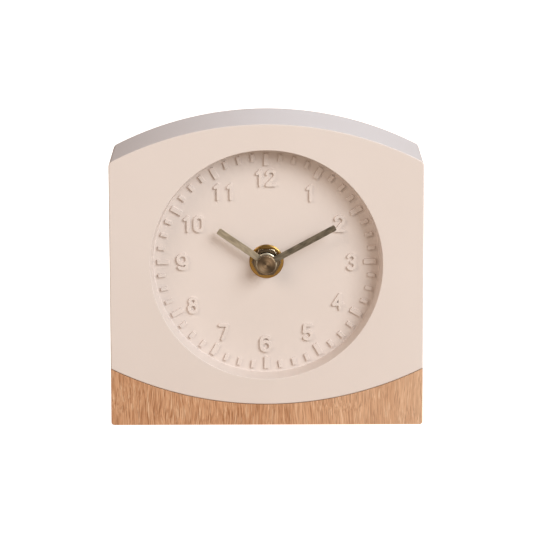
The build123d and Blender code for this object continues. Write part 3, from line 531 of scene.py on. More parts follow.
def dial_marks():
    """The twelve numerals of the dial, and four ticks to each hour."""
    bm = bmesh.new()
    ticks = HOURS * TICKS_PER_HOUR
    for place in range(ticks):
        tick(bm, SHORT_TICK if place % TICKS_PER_HOUR else HOUR_TICK, 2 * pi * place / ticks)
    for hour in range(1, HOURS + 1):
        numeral = bmesh.new()
        for place, letter in enumerate(str(hour)):
            add_mesh(numeral, digits[int(letter)], Matrix.Translation((place * NUMERAL_PITCH, 0, 0)))
        xs = [v.co.x for v in numeral.verts]
        angle = pi / 2 - 2 * pi * hour / HOURS
        shift = Vector(NUMERAL_SHIFT_SHARES.get(hour, (0, 0))) * NUMERAL_HEIGHT
        centre = Vector((NUMERAL_RING * cos(angle) - (min(xs) + max(xs)) / 2 + shift.x,
                         NUMERAL_RING * sin(angle) + shift.y, 0))
        add_mesh(bm, mesh_from(numeral, "numeral"), Matrix.Translation(centre))
    stand = Matrix.Translation((0, FLOOR_Y + SINK, DIAL_Z)) @ OUTWARD
    bmesh.ops.transform(bm, matrix=stand, verts=bm.verts)
    return finish_piece("dial_marks", bm, "root", "shell_plastic", "front_shell")


marks = dial_marks()

# %% [markdown]
# ## Washer and nut
# The movement is held by a round brass washer and a six-sided nut on its bushing. A real nut has
# its corners turned off in a lathe, which leaves curved lines on the six sides. That is made the
# same way here: a six-sided block is intersected with a turned solid that has sloping shoulders.

# %% Turn the washer and cut the nut
nut_low, nut_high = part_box("hex_nut")
BUSHING_RADIUS = 4.0 * MM
NUT_FLATS = nut_high.z - nut_low.z
NUT_SLOPE = 0.55 * MM
NUT_EASE = 0.1 * MM
OVERSIZE = 0.2 * MM
NUT_BORE = BUSHING_RADIUS + 0.05 * MM
BORE_CHAMFER = 0.3 * MM
WASHER_CROWN, WASHER_DROP = 1.6 * MM, 0.42 * MM
CROWN_STEPS = 6


def turned_ring(profile, steps=LATHE_SIDES):
    """A closed ring spun from a closed profile of (radius, depth) points."""
    bm = bmesh.new()
    lathe(bm, profile + profile[:1], steps)
    bmesh.ops.remove_doubles(bm, verts=bm.verts, dist=MERGE)
    return bm


def washer_ring():
    """The washer, with a crowned face that falls away to its rim."""
    radius = (washer_high.x - washer_low.x) / 2
    crown = [(radius - WASHER_CROWN * (1 - sin(a)), washer_low.y + WASHER_DROP * (1 - cos(a)))
             for a in (pi / 2 * step / CROWN_STEPS for step in range(CROWN_STEPS + 1))]
    back = [(radius, washer_high.y), (BORE_RADIUS, washer_high.y)]
    bm = turned_ring([(BORE_RADIUS, washer_low.y)] + crown + back)
    return finish_piece("dial_washer", bm, "root", "brass", "washer")


def nut_solid():
    """The six-sided nut with turned corners and a bore."""
    corner = NUT_FLATS / sqrt(3)
    place = Matrix.Translation((0, (nut_low.y + nut_high.y) / 2, DIAL_Z)) @ OUTWARD @ Matrix.Rotation(
        pi / 2, 4, "Z")
    blank = prism(6, corner, nut_high.y - nut_low.y, place)
    outside, behind = corner + OVERSIZE, nut_high.y + MM
    turned = turned_ring([
        (NUT_BORE + BORE_CHAMFER, nut_low.y), (NUT_FLATS / 2 - NUT_EASE, nut_low.y),
        (outside, nut_low.y + NUT_SLOPE), (outside, behind), (NUT_BORE, behind),
        (NUT_BORE, nut_low.y + BORE_CHAMFER),
    ])
    bm = combine([blank, turned], "INTERSECT")
    return finish_piece("bronze_nut", bm, "root", "brass", "hex_nut")


dial_washer = washer_ring()
bronze_nut = nut_solid()

# %% [markdown]
# ## The hands
# Each hand is a thin strip of brass with a round hub. The strip and the hub are joined as one
# solid, and the edges are rounded a little, because on the real hands such an edge catches the light
# as a bright line. The hub stays a little lower than the strip, since two faces at one height make a
# join that is hard to shade. The hands are drawn pointing to twelve and are then turned.

# %% Cut the hands from sheet
HAND_ROUND = 0.13 * MM
TIP_ROUND = 0.6 * MM
HUB_STEPS = ((0, 0), (0, 0.4), (0.2, 0.66), (0.55, 0.84), (0.9, 0.9))
HUB_SIDES = 72


def clock_hand(name, body, length, width, angle, hub_radius, bore):
    """A flat hand with a hub, turned clockwise from twelve."""
    node = name.replace("_brass", "")
    low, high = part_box(node)
    thickness = high.y - low.y
    foot = (bore + hub_radius) / 2
    strip = block((0, (foot + length) / 2, thickness / 2), (width, length - foot, thickness))
    tip = [e for e in upright_edges(strip) if e.verts[0].co.y > length / 2]
    round_edges(strip, tip, TIP_ROUND, segments=4)
    outer = [(hub_radius - inset * MM, 0, share * thickness) for inset, share in HUB_STEPS]
    profile = [(bore, 0, 0)] + outer + [(bore, 0, outer[-1][2]), (bore, 0, 0)]
    hub = bmesh.new()
    spin_chain(hub, profile, (0, 0, 0), (0, 0, 1), HUB_SIDES)
    bmesh.ops.remove_doubles(hub, verts=hub.verts, dist=MERGE)
    bm = combine([hub, strip])
    soften_top(bm, HAND_ROUND, segments=2)
    place = Matrix.Translation((0, high.y, DIAL_Z)) @ OUTWARD @ Matrix.Rotation(-radians(angle), 4, "Z")
    bmesh.ops.transform(bm, matrix=place, verts=bm.verts)
    return finish_piece(name, bm, body, "hand_brass", node)


HOUR_ANGLE, MINUTE_ANGLE = 304.6, 61.6
ARBOR_BORE = 1.22 * MM
hour = clock_hand("hour_hand_brass", "hour_hand_and_wheel", length=23.6 * MM, width=2.7 * MM,
                  angle=HOUR_ANGLE, hub_radius=4.2 * MM, bore=2.57 * MM)
minute = clock_hand("minute_hand_brass", "minute_hand_and_arbor", length=31.5 * MM, width=2.45 * MM,
                    angle=MINUTE_ANGLE, hub_radius=3.6 * MM, bore=ARBOR_BORE)

# %% [markdown]
# ## The cap on the hands
# A small turned cap closes the stack. It has a fine raised rim and a slightly sunk face, and its
# face keeps the rings of the turning tool, so a spun profile is the natural way to make it.

# %% Turn the cap
cap_low, cap_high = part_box("hand_cap")
CAP_STEPS = ((1.5, 0.14), (1.0, 0.09), (0.6, 0), (0.35, 0), (0.12, 0.08), (0, 0.3))
CAP_SINK = 0.14 * MM
CAP_ROOF = 0.35 * MM


def turned_cap():
    """The brass cap, with a raised rim round a sunk face."""
    radius = (cap_high.x - cap_low.x) / 2
    front, back = cap_low.y, cap_high.y
    face = [(radius - inset * MM, front + depth * MM) for inset, depth in CAP_STEPS]
    bore = [(radius, back), (ARBOR_BORE, back), (ARBOR_BORE, front + CAP_ROOF), (0, front + CAP_ROOF)]
    bm = bmesh.new()
    lathe(bm, [(0, front + CAP_SINK)] + face + bore, LATHE_SIDES)
    return finish_piece("cap_turned", bm, "minute_hand_and_arbor", "cap_brass", "hand_cap")


cap = turned_cap()

# %% [markdown]
# ## The threaded bushing
# Between the nut and the hour hand a short stretch of the movement's bushing shows. A thread this
# fine reads as a row of close rings, so the bushing is turned from a zigzag profile. A true spiral
# would take far more faces for a difference that nobody can see.

# %% Turn the bushing with its thread
bushing_low, bushing_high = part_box("threaded_bushing")
THREAD_PITCH = 0.6 * MM
THREAD_DEPTH = 0.25 * MM
BUSHING_BORE = 2.65 * MM
FLANGE_RADIUS = (bushing_high.x - bushing_low.x) / 2
FLANGE_THICKNESS = 0.6 * MM
THREAD_SIDES = 64


def threaded_bushing():
    """The brass bushing: a threaded neck on a flange."""
    flange_y = bushing_high.y - FLANGE_THICKNESS
    y = bushing_low.y
    profile = [(BUSHING_BORE, y)]
    while y + THREAD_PITCH < flange_y:
        profile += [(BUSHING_RADIUS - THREAD_DEPTH, y), (BUSHING_RADIUS, y + THREAD_PITCH / 2)]
        y += THREAD_PITCH
    profile += [(BUSHING_RADIUS - THREAD_DEPTH, flange_y), (FLANGE_RADIUS, flange_y),
                (FLANGE_RADIUS, bushing_high.y), (BUSHING_BORE, bushing_high.y)]
    bm = turned_ring(profile, THREAD_SIDES)
    return finish_piece("bushing_thread", bm, "root", "brass", "threaded_bushing")


bushing = threaded_bushing()

# %% [markdown]
# ## The rear cover
# A cover with a deep pocket closes the back, so that fingers can reach the knob and the battery.
# A plate and a square block are joined, and the pocket and the four screw wells are then cut out,
# which is the order in which a toolmaker would think of the mould. The rims are rounded at the end.

# %% Mould the rear cover
cover_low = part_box("rear_cover")[0]
screws_low, screws_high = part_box("cover_screws")
case_low, case_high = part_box("movement_back_case")
COVER_THICKNESS = 2.4 * MM
COVER_GAP = 0.2 * MM
POCKET_WALL = 1.6 * MM
POCKET_HALF = (case_high.x - case_low.x) / 2 + 1.0 * MM
POCKET_CORNER = 2.0 * MM
COVER_ROUND = 0.4 * MM
HEAD_RADIUS = 2.8 * MM
HEAD_WELL_RADIUS = 3.15 * MM
HEAD_WELL_DEPTH = 1.9 * MM
SHANK_HOLE_RADIUS = 1.6 * MM
WELL_SIDES, SHANK_SIDES = 40, 24
OVERRUN = 1.0 * MM
screw_x = screws_high.x - HEAD_RADIUS
screw_heights = (screws_low.z + HEAD_RADIUS, screws_high.z - HEAD_RADIUS)


def square_bar(half_side, corner, y_front, y_back):
    """An upright square bar with rounded corners, centred on the dial's axis."""
    bm = block((0, (y_front + y_back) / 2, DIAL_Z), (2 * half_side, y_back - y_front, 2 * half_side))
    round_edges(bm, deep_edges(bm), corner, segments=6)
    return bm


def round_bar(x, z, radius, y_front, y_back, sides=WELL_SIDES):
    """A round bar that runs front to back."""
    place = Matrix.Translation((x, (y_front + y_back) / 2, z)) @ OUTWARD
    return prism(sides, radius, y_back - y_front, place)


def cover_plate():
    """The flat plate of the cover, as a solid that fits inside the shell."""
    bm = bmesh.new()
    face = body_outline(bm, REAR_Y, WALL + COVER_GAP)
    pull(bm, face, REAR_Y - COVER_THICKNESS)
    return bm


def rear_cover():
    """The cover with its pocket, screw wells and rounded rims."""
    outer_half, outer_corner = POCKET_HALF + POCKET_WALL, POCKET_CORNER + POCKET_WALL
    bar = square_bar(outer_half, outer_corner, cover_low.y, REAR_Y - OVERRUN)
    solid = combine([cover_plate(), bar])
    cuts = [square_bar(POCKET_HALF, POCKET_CORNER, cover_low.y - OVERRUN, REAR_Y + OVERRUN)]
    seat_y = REAR_Y - HEAD_WELL_DEPTH
    for z in screw_heights:
        for x in (-screw_x, screw_x):
            cuts.append(round_bar(x, z, HEAD_WELL_RADIUS, seat_y, REAR_Y + OVERRUN))
            cuts.append(round_bar(x, z, SHANK_HOLE_RADIUS, cover_low.y, REAR_Y, SHANK_SIDES))
    bm = combine([solid] + cuts, "DIFFERENCE")
    rims = [e for e in edges_where(bm, lambda co: near(co.y, REAR_Y))
            if len(e.link_faces) == 2 and e.calc_face_angle() > SHARP]
    round_edges(bm, rims, COVER_ROUND)
    return finish_piece("cover_rear", bm, "root", "cover_plastic", "rear_cover")


cover = rear_cover()

# %% [markdown]
# ## Small marks on the movement
# The back of a movement case is never a bare box. It has two raised ridges, a plus and a minus sign
# that show which way round the battery goes, and two bows beside the knob that say it can be turned.
# They are one thin piece laid on the case, so the case itself can stay as the frame has it.

# %% Raise the ridges and the signs on the case
SIGN_HEIGHT = 0.25 * MM
SIGN_STROKE = 0.8 * MM
SIGN_REACH = 1.6 * MM
SIGN_X = 20 * MM
SIGN_ROUND = 0.08 * MM
RIDGE_LEFT, RIDGE_RIGHT = -20 * MM, 8 * MM
RIDGE_INSET = 3.6 * MM
BAY_GAP = 1.9 * MM
BOW_RADIUS, BOW_STROKE = 7.2 * MM, 0.6 * MM
BOW_STARTS, BOW_TURN = (115, 205), 55
BACKWARD = Matrix(((1, 0, 0, 0), (0, 0, 1, 0), (0, 1, 0, 0), (0, 0, 0, 1)))
knob_low, knob_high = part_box("setting_knob")
battery_low, battery_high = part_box("battery")
KNOB = Vector(((knob_low.x + knob_high.x) / 2, 0, (knob_low.z + knob_high.z) / 2))
SIGN_Z = battery_high.z + 4.2 * MM


def case_details():
    """The ridges, the signs and the bows on the back of the case."""
    heights = (DIAL_Z + POCKET_HALF - RIDGE_INSET, battery_high.z + BAY_GAP)
    runs = [((RIDGE_LEFT, z), (RIDGE_RIGHT, z)) for z in heights]
    runs += [((x - SIGN_REACH, SIGN_Z), (x + SIGN_REACH, SIGN_Z)) for x in (-SIGN_X, SIGN_X)]
    runs.append(((SIGN_X, SIGN_Z - SIGN_REACH), (SIGN_X, SIGN_Z + SIGN_REACH)))
    joined = combine([stroke_bar(start, end, SIGN_STROKE, SIGN_HEIGHT) for start, end in runs])
    for start_angle in BOW_STARTS:
        for bow in stroke_bow(0, BOW_RADIUS, start_angle, BOW_TURN, BOW_STROKE, SIGN_HEIGHT):
            bmesh.ops.translate(bow, verts=bow.verts, vec=(KNOB.x, KNOB.z, 0))
            joined = combine([joined, bow])
    soften_top(joined, SIGN_ROUND, segments=2)
    on_case = Matrix.Translation((0, case_high.y, 0)) @ BACKWARD
    bmesh.ops.transform(joined, matrix=on_case, verts=joined.verts)
    return finish_piece("case_signs", joined, "root", "case_plastic")


signs = case_details()

# %% [markdown]
# ## The battery
# A cell is a steel can in a printed sleeve. The sleeve ends short of the can, so a narrow metal
# ring shows at each end, and the can has a crimped groove near its positive end. All of it is
# turned about the cell's long axis from one profile. The sleeve here has plain bands only.

# %% Turn the battery
battery_radius = (battery_high.z - battery_low.z) / 2
battery_y = (battery_low.y + battery_high.y) / 2
battery_z = (battery_low.z + battery_high.z) / 2
NUB_RADIUS, NUB_LENGTH = 2.7 * MM, 1.0 * MM
SLEEVE = 0.12 * MM
SLEEVE_START = 1.25 * MM
BASE_STEPS = ((0, 1.4), (0.25, 0.9), (0.3, 0.3), (0.6, 0), (1.2, 0))
CRIMP_STEPS = ((3.2, 0), (2.9, 0.35), (2.3, 0.35), (2.0, 0), (0.7, 0))
SHOULDER_STEPS = ((0.1, 0.4), (0, 1.2))
NUB_STEPS = ((1.2, -0.4), (1.0, 0), (0.25, 0), (0, 0.3))
CELL_SIDES = 64


def stepped(end, radius, steps, way):
    """Profile points from steps of (distance from an end, drop below a radius) in mm."""
    return [(end + way * run * MM, radius - drop * MM) for run, drop in steps]


def battery_cell():
    """The cell, with its positive end towards +X."""
    left, right = battery_low.x, battery_high.x
    can, shoulder = battery_radius - SLEEVE, right - NUB_LENGTH
    profile = [(left, 0)] + stepped(left, can, BASE_STEPS, 1)
    profile.append((left + SLEEVE_START, battery_radius))
    profile += stepped(shoulder, battery_radius, CRIMP_STEPS, -1)
    profile += stepped(shoulder, can, SHOULDER_STEPS, -1)
    profile += stepped(right, NUB_RADIUS, NUB_STEPS, -1) + [(right, 0)]
    points = [(x, battery_y, battery_z + radius) for x, radius in profile]
    bm = bmesh.new()
    spin_chain(bm, points, (0, battery_y, battery_z), (1, 0, 0), CELL_SIDES)
    return finish_piece("battery_cell", bm, "root", "battery_sleeve", "battery")


cell = battery_cell()

# %% [markdown]
# ## How the materials are made
# A material is a small network of nodes. A few helpers keep the networks short: they add a node
# and link its inputs, do one step of arithmetic, make a ramp or a mix, and start a material. A Mix
# node has sockets for numbers, vectors and colours, so its colours are taken by their places. Every
# pattern reads Object coordinates, which are metres in the frame, so a pattern keeps its real scale.

# %% Helpers for node networks
MIX_INPUTS, MIX_RESULT = (0, 6, 7), 2


def add(tree, kind, inputs=None, **fields):
    """Add a shader node, set its fields, and set or link its inputs."""
    node = tree.nodes.new("ShaderNode" + kind)
    for field, value in fields.items():
        setattr(node, field, value)
    for key, value in (inputs or {}).items():
        if isinstance(value, bpy.types.NodeSocket):
            tree.links.new(value, node.inputs[key])
        else:
            node.inputs[key].default_value = value
    return node


def calc(tree, operation, first, second=0.0, third=0.0, clamp=False):
    """One step of arithmetic, as an output socket."""
    numbers = {0: first, 1: second, 2: third}
    return add(tree, "Math", numbers, operation=operation, use_clamp=clamp).outputs[0]


def ramp(tree, factor, *stops):
    """A colour ramp from stops of (position, colour)."""
    node = add(tree, "ValToRGB", {"Fac": factor})
    elements = node.color_ramp.elements
    while len(elements) < len(stops):
        elements.new(0.5)
    for element, (position, colour) in zip(elements, stops):
        element.position = position
        element.color = (*colour, 1) if isinstance(colour, tuple) else (colour, colour, colour, 1)
    return node.outputs["Color"]


def spread(tree, factor, low, high):
    """Spread the middle of a noise, where most of its values lie, between two tones."""
    return ramp(tree, factor, (0.3, low), (0.7, high))


def scaled(colour, gain, lift=0.0):
    """A brighter or darker version of a colour."""
    return tuple(min(1.0, channel * gain + lift) for channel in colour)


def mix(tree, factor, first, second, blend="MIX"):
    """Mix two colours, given as sockets or as plain colours."""
    first, second = ((*c, 1) if isinstance(c, tuple) else c for c in (first, second))
    node = add(tree, "Mix", data_type="RGBA", blend_type=blend)
    for key, value in zip(MIX_INPUTS, (factor, first, second)):
        if isinstance(value, bpy.types.NodeSocket):
            tree.links.new(value, node.inputs[key])
        else:
            node.inputs[key].default_value = value
    return node.outputs[MIX_RESULT]


def start_material(name, centre=(0, 0, 0), turn=(0, 0, 0), **plain):
    """A new material: its tree, its shader, and coordinates centred and turned for a pattern."""
    material = bpy.data.materials.new(name)
    material.use_nodes = True
    tree = material.node_tree
    shader = tree.nodes["Principled BSDF"]
    for key, value in plain.items():
        shader.inputs[key.replace("_", " ")].default_value = value
    place = add(tree, "TexCoord").outputs["Object"]
    shift = add(tree, "Mapping", {"Vector": place, "Location": tuple(-c for c in centre)}).outputs[0]
    turned = add(tree, "Mapping", {"Vector": shift, "Rotation": turn}).outputs[0]
    return material, tree, shader, turned


def bump(tree, shader, height, distance, strength=1.0):
    """Let a height pattern shade the surface; the distance is its real depth."""
    node = add(tree, "Bump", {"Height": height, "Distance": distance, "Strength": strength})
    tree.links.new(node.outputs["Normal"], shader.inputs["Normal"])


def feed(tree, shader, **sockets):
    """Link sockets to the shader's inputs by name."""
    for key, socket in sockets.items():
        tree.links.new(socket, shader.inputs[key.replace("_", " ")])


# %% [markdown]
# ## Shared effects
# Some effects belong to many finishes: the fine skin of a mould, the lines of a brush, the rings
# of a lathe, and edges that wear bright. Each is built once as a node group with named sockets.
# A material then places the group and gives it its own scale, so the finishes stay in step.

# %% Start a node group
def start_group(name, outputs, **numbers):
    """A new shader node group that takes a vector and some numbers, with its end nodes."""
    group = bpy.data.node_groups.new(name, "ShaderNodeTree")
    group.interface.new_socket("Vector", in_out="INPUT", socket_type="NodeSocketVector")
    for socket, value in numbers.items():
        made = group.interface.new_socket(socket, in_out="INPUT", socket_type="NodeSocketFloat")
        made.default_value = value
    for socket in outputs:
        group.interface.new_socket(socket, in_out="OUTPUT", socket_type="NodeSocketFloat")
    return group, group.nodes.new("NodeGroupInput").outputs, group.nodes.new("NodeGroupOutput").inputs


def place_group(tree, group, vector, **values):
    """Place a group in a material with its own values, and return its outputs."""
    node = tree.nodes.new("ShaderNodeGroup")
    node.node_tree = group
    tree.links.new(vector, node.inputs["Vector"])
    for key, value in values.items():
        node.inputs[key].default_value = value
    return node.outputs


# %% [markdown]
# The moulded skin has two outputs. Height is the fine texture that a mould's surface leaves, and
# Tone drifts slowly over the piece, as plastic and paint never have quite one colour.

# %% Moulded skin
def moulded_skin_group():
    """Fine grain and a slow drift of tone, for moulded surfaces."""
    group, given, out = start_group("moulded_skin", ("Height", "Tone"), Grain=2500.0, Drift=25.0)
    grain = add(group, "TexNoise", {"Vector": given["Vector"], "Scale": given["Grain"], "Detail": 3.0})
    drift = add(group, "TexNoise", {"Vector": given["Vector"], "Scale": given["Drift"], "Detail": 2.0})
    group.links.new(grain.outputs["Fac"], out["Height"])
    group.links.new(drift.outputs["Fac"], out["Tone"])
    return group


moulded_skin = moulded_skin_group()
print("made", moulded_skin.name)

# %% [markdown]
# Brushed metal has long fine lines. Noise is squeezed across the brushing and stretched along it,
# so one pattern gives both the relief of the lines and the streaks of brighter and darker metal.

# %% Brushed skin
def brushed_skin_group():
    """Lines along local Z, for metal that is brushed or drawn."""
    group, given, out = start_group("brushed_skin", ("Height", "Tone"), Across=9000.0, Along=250.0)
    split = add(group, "SeparateXYZ", {"Vector": given["Vector"]}).outputs
    squeezed = add(group, "CombineXYZ", {
        "X": calc(group, "MULTIPLY", split["X"], given["Across"]),
        "Y": calc(group, "MULTIPLY", split["Y"], given["Across"]),
        "Z": calc(group, "MULTIPLY", split["Z"], given["Along"])}).outputs[0]
    fine = add(group, "TexNoise", {"Vector": squeezed, "Scale": 1.0, "Detail": 4.0, "Roughness": 0.65})
    wide = add(group, "TexNoise", {"Vector": squeezed, "Scale": 0.22, "Detail": 2.0})
    group.links.new(fine.outputs["Fac"], out["Height"])
    group.links.new(wide.outputs["Fac"], out["Tone"])
    return group


brushed_skin = brushed_skin_group()
print("made", brushed_skin.name)

# %% [markdown]
# A lathe leaves rings about the axis it turned on. The distance from the axis drives a noise that
# has only one dimension, so the rings have uneven depth and spacing, as real tool marks do. A third
# output is a wave with two peaks round the axis. It is used for painted shade in two opposite fans.

# %% Turned skin
def turned_skin_group():
    """Rings about the local Y axis, for metal turned on a lathe, and a wave round it for painted shade.
    """
    group, given, out = start_group("turned_skin", ("Height", "Tone", "Painted_fans"), Rings=6000.0, Fan=0.6)
    split = add(group, "SeparateXYZ", {"Vector": given["Vector"]}).outputs
    flat = add(group, "CombineXYZ", {"X": split["X"], "Z": split["Z"]}).outputs[0]
    radius = add(group, "VectorMath", {0: flat}, operation="LENGTH").outputs["Value"]
    count = calc(group, "MULTIPLY", radius, given["Rings"])
    rings = add(group, "TexNoise", {"W": count, "Scale": 1.0, "Detail": 3.0}, noise_dimensions="1D")
    bands = add(group, "TexNoise", {"W": count, "Scale": 0.15, "Detail": 1.0}, noise_dimensions="1D")
    group.links.new(rings.outputs["Fac"], out["Height"])
    group.links.new(bands.outputs["Fac"], out["Tone"])
    # Painted shade: a wave in the angle round the axis marks two opposite fans to be darkened.
    around = calc(group, "SUBTRACT", calc(group, "ARCTAN2", split["Z"], split["X"]), given["Fan"])
    wave = calc(group, "COSINE", calc(group, "MULTIPLY", around, 2.0))
    group.links.new(calc(group, "MULTIPLY_ADD", wave, 0.5, 0.5), out["Painted_fans"])
    return group


turned_skin = turned_skin_group()
print("made", turned_skin.name)

# %% [markdown]
# Handling polishes the edges of a part. A Bevel node looks at the surface a little way round each
# point, so where its normal differs from the true one there is an edge. The difference is broken
# up with noise and becomes a mask.

# %% Worn edges
EDGE_GAIN = 6.0


def worn_edges_group():
    """A mask that is high on the edges of a piece."""
    group, given, out = start_group("worn_edges", ("Mask",), Reach=0.0002, Breaks=900.0)
    soft = add(group, "Bevel", {"Radius": given["Reach"]}, samples=4).outputs["Normal"]
    true = add(group, "NewGeometry").outputs["Normal"]
    alike = add(group, "VectorMath", {0: soft, 1: true}, operation="DOT_PRODUCT").outputs["Value"]
    edge = calc(group, "MULTIPLY", calc(group, "SUBTRACT", 1.0, alike), EDGE_GAIN, clamp=True)
    breaks = add(group, "TexNoise", {"Vector": given["Vector"], "Scale": given["Breaks"], "Detail": 2.0})
    group.links.new(calc(group, "MULTIPLY", edge, breaks.outputs["Fac"], clamp=True), out["Mask"])
    return group


worn_edges = worn_edges_group()
print("made", worn_edges.name)

# %% [markdown]
# ## The moulded body
# The body and the dial are one warm beige plastic with a fine satin skin. The skin is far too fine
# to see as bumps: it only softens the highlights. A very slow drift of tone keeps large faces from
# looking like flat paint.

# %% Beige plastic for the body and the cover
BEIGE = (0.73, 0.645, 0.60)
BEIGE_DEEP = (0.715, 0.63, 0.583)


def beige_plastic(name, grain, depth, roughness):
    """Satin beige plastic with a grain of a given scale."""
    material, tree, shader, place = start_material(name, Specular_IOR_Level=0.35)
    skin = place_group(tree, moulded_skin, place, Grain=grain, Drift=30.0)
    tone = spread(tree, skin["Tone"], BEIGE_DEEP, BEIGE)
    gloss = spread(tree, skin["Height"], roughness - 0.05, roughness + 0.05)
    feed(tree, shader, Base_Color=tone, Roughness=gloss)
    bump(tree, shader, skin["Height"], depth)
    return material


shell_plastic = beige_plastic("shell_plastic", grain=3200.0, depth=0.00002, roughness=0.55)
cover_plastic = beige_plastic("cover_plastic", grain=1400.0, depth=0.00006, roughness=0.65)
print("made", shell_plastic.name, "and", cover_plastic.name)

# %% [markdown]
# ## The wood
# The base is a light reddish wood whose grain stands upright. Close up it is a dense mass of short
# streaks: pale rays and darker pores, each less than half a millimetre wide and several millimetres
# tall. Four noises at different stretches build it: slow bands of colour, long fibres, dark pores
# and pale rays. A gentle warp bends the lines, because no grain runs quite straight. The wood is
# painted a little paler towards +X. This is painted light for the side where the key lamp stands.

# %% Upright wood grain
WOOD_PALE = (0.70, 0.41, 0.24)
WOOD_MIDDLE = (0.56, 0.295, 0.158)
WOOD_DARK = (0.44, 0.21, 0.10)
WOOD_PORE = (0.35, 0.155, 0.068)
WOOD_RAY = (0.80, 0.56, 0.37)
# The pale colour of the painted light on the +X side of the base.
WOOD_PAINTED_LIGHT = (0.80, 0.62, 0.46)
WOOD_WARP = (0.004, 0.004, 0.0)


def stretched_noise(tree, place, across, along, detail=2.0, roughness=0.5):
    """Noise that is drawn out along Z; across and along are its scales in turns per metre."""
    squeezed = add(tree, "Mapping", {"Vector": place, "Scale": (across, across, along)}).outputs[0]
    return add(tree, "TexNoise", {"Vector": squeezed, "Scale": 1.0, "Detail": detail,
                                  "Roughness": roughness}).outputs["Fac"]


def oiled_wood():
    """Straight-grained wood with fibres, pores and rays, under a satin oil."""
    material, tree, shader, place = start_material("wood", Specular_IOR_Level=0.4)
    warp = add(tree, "TexNoise", {"Vector": place, "Scale": 45.0, "Detail": 1.0}).outputs["Color"]
    push = add(tree, "VectorMath", {0: warp, 1: (0.5, 0.5, 0.5)}, operation="SUBTRACT").outputs[0]
    sway = {0: push, 1: WOOD_WARP, 2: place}
    bent = add(tree, "VectorMath", sway, operation="MULTIPLY_ADD").outputs[0]
    bands = stretched_noise(tree, bent, across=90.0, along=9.0)
    fibres = stretched_noise(tree, bent, across=2300.0, along=55.0, detail=4.0, roughness=0.6)
    pores = stretched_noise(tree, bent, across=2800.0, along=130.0)
    rays = stretched_noise(tree, bent, across=2700.0, along=110.0)
    base = ramp(tree, bands, (0.3, WOOD_MIDDLE), (0.72, WOOD_PALE))
    grain = mix(tree, ramp(tree, fibres, (0.40, 0.95), (0.56, 0.0)), base, WOOD_DARK)
    pored = mix(tree, ramp(tree, pores, (0.36, 1.0), (0.47, 0.0)), grain, WOOD_PORE)
    rayed = mix(tree, ramp(tree, rays, (0.57, 0.0), (0.68, 0.7)), pored, WOOD_RAY)
    # Painted light: the colour grows paler towards +X, where the key lamp stands, spread a little by the
    # bands.
    across = calc(tree, "DIVIDE", add(tree, "SeparateXYZ", {"Vector": place}).outputs["X"], HALF_WIDTH)
    uneven = calc(tree, "ADD", across, calc(tree, "SUBTRACT", bands, 0.5))
    painted_light_share = calc(tree, "MULTIPLY", uneven, 0.25, clamp=True)
    side_lit_wood = mix(tree, painted_light_share, rayed, WOOD_PAINTED_LIGHT)
    feed(tree, shader, Base_Color=side_lit_wood, Roughness=spread(tree, fibres, 0.62, 0.48))
    relief = calc(tree, "ADD", calc(tree, "MULTIPLY", pores, 0.6), calc(tree, "MULTIPLY", fibres, 0.4))
    bump(tree, shader, relief, 0.00008, 0.7)
    return material


wood = oiled_wood()
print("made", wood.name)

# %% [markdown]
# ## Brass and the other metals
# The washer is yellow brass, turned and polished. The nut and the bushing are a darker bronze with
# bright edges. The cap is redder and was faced on a lathe. Each turned metal has two opposite darker
# fans painted into its colour. This is painted shade for the light that lathe rings spread, and it is
# strongest on the cap. The screws are plated steel. One function makes them all.

# %% Polished and turned brass
DIAL_CENTRE = (0, 0, DIAL_Z)
# The turn of the fans of painted shade about the dial's axis.
PAINTED_FAN_ANGLE = radians(48)


def turned_metal(name, light, dark, centre=DIAL_CENTRE, rings=7000.0, depth=0.000012, roughness=0.22,
                 rubbed=None, painted_fan_strength=0.25):
    """Metal with lathe rings about an axis, painted shade in two fans, and edges polished by handling."""
    material, tree, shader, place = start_material(name, centre, Metallic=1.0)
    skin = place_group(tree, turned_skin, place, Rings=rings, Fan=PAINTED_FAN_ANGLE)
    edge = place_group(tree, worn_edges, place, Reach=0.00015)["Mask"]
    tone = spread(tree, skin["Tone"], dark, light)
    # Painted shade: the colour darkens in two opposite fans, in place of light that the rings spread.
    painted_fan_shade = calc(tree, "MULTIPLY", calc(tree, "SUBTRACT", 1.0, skin["Painted_fans"]), painted_fan_strength)
    fan_shaded_tone = mix(tree, painted_fan_shade, tone, scaled(dark, 0.35))
    edged = mix(tree, edge, fan_shaded_tone, rubbed or scaled(light, 1.25))
    gloss = spread(tree, skin["Tone"], roughness + 0.08, roughness)
    feed(tree, shader, Base_Color=edged, Roughness=gloss)
    bump(tree, shader, skin["Height"], depth)
    return material


brass = turned_metal("brass", (0.60, 0.36, 0.11), (0.30, 0.17, 0.05), roughness=0.27)
bronze = turned_metal("bronze", (0.40, 0.32, 0.22), (0.16, 0.12, 0.08), roughness=0.2,
                      rubbed=(0.92, 0.87, 0.76))
# The cap has the strongest painted shade in fans.
cap_brass = turned_metal("cap_brass", (0.54, 0.39, 0.25), (0.27, 0.195, 0.125), rings=5000.0,
                         depth=0.00003, roughness=0.34, rubbed=(0.80, 0.64, 0.46), painted_fan_strength=0.9)
steel = turned_metal("steel", (0.72, 0.71, 0.68), (0.55, 0.54, 0.52), (screw_x, 0, screw_heights[0]),
                     rings=3000.0, roughness=0.3)
print("made", brass.name, bronze.name, cap_brass.name, steel.name)

# %% [markdown]
# The hands are brushed along their length, so each has its own pattern, turned to its own angle
# about the dial's centre. Both hands are one brass. The hour hand gets a lighter colour as painted
# light, and the minute hand gets a much darker one as painted shade. Iron and spring steel come from
# the same function.

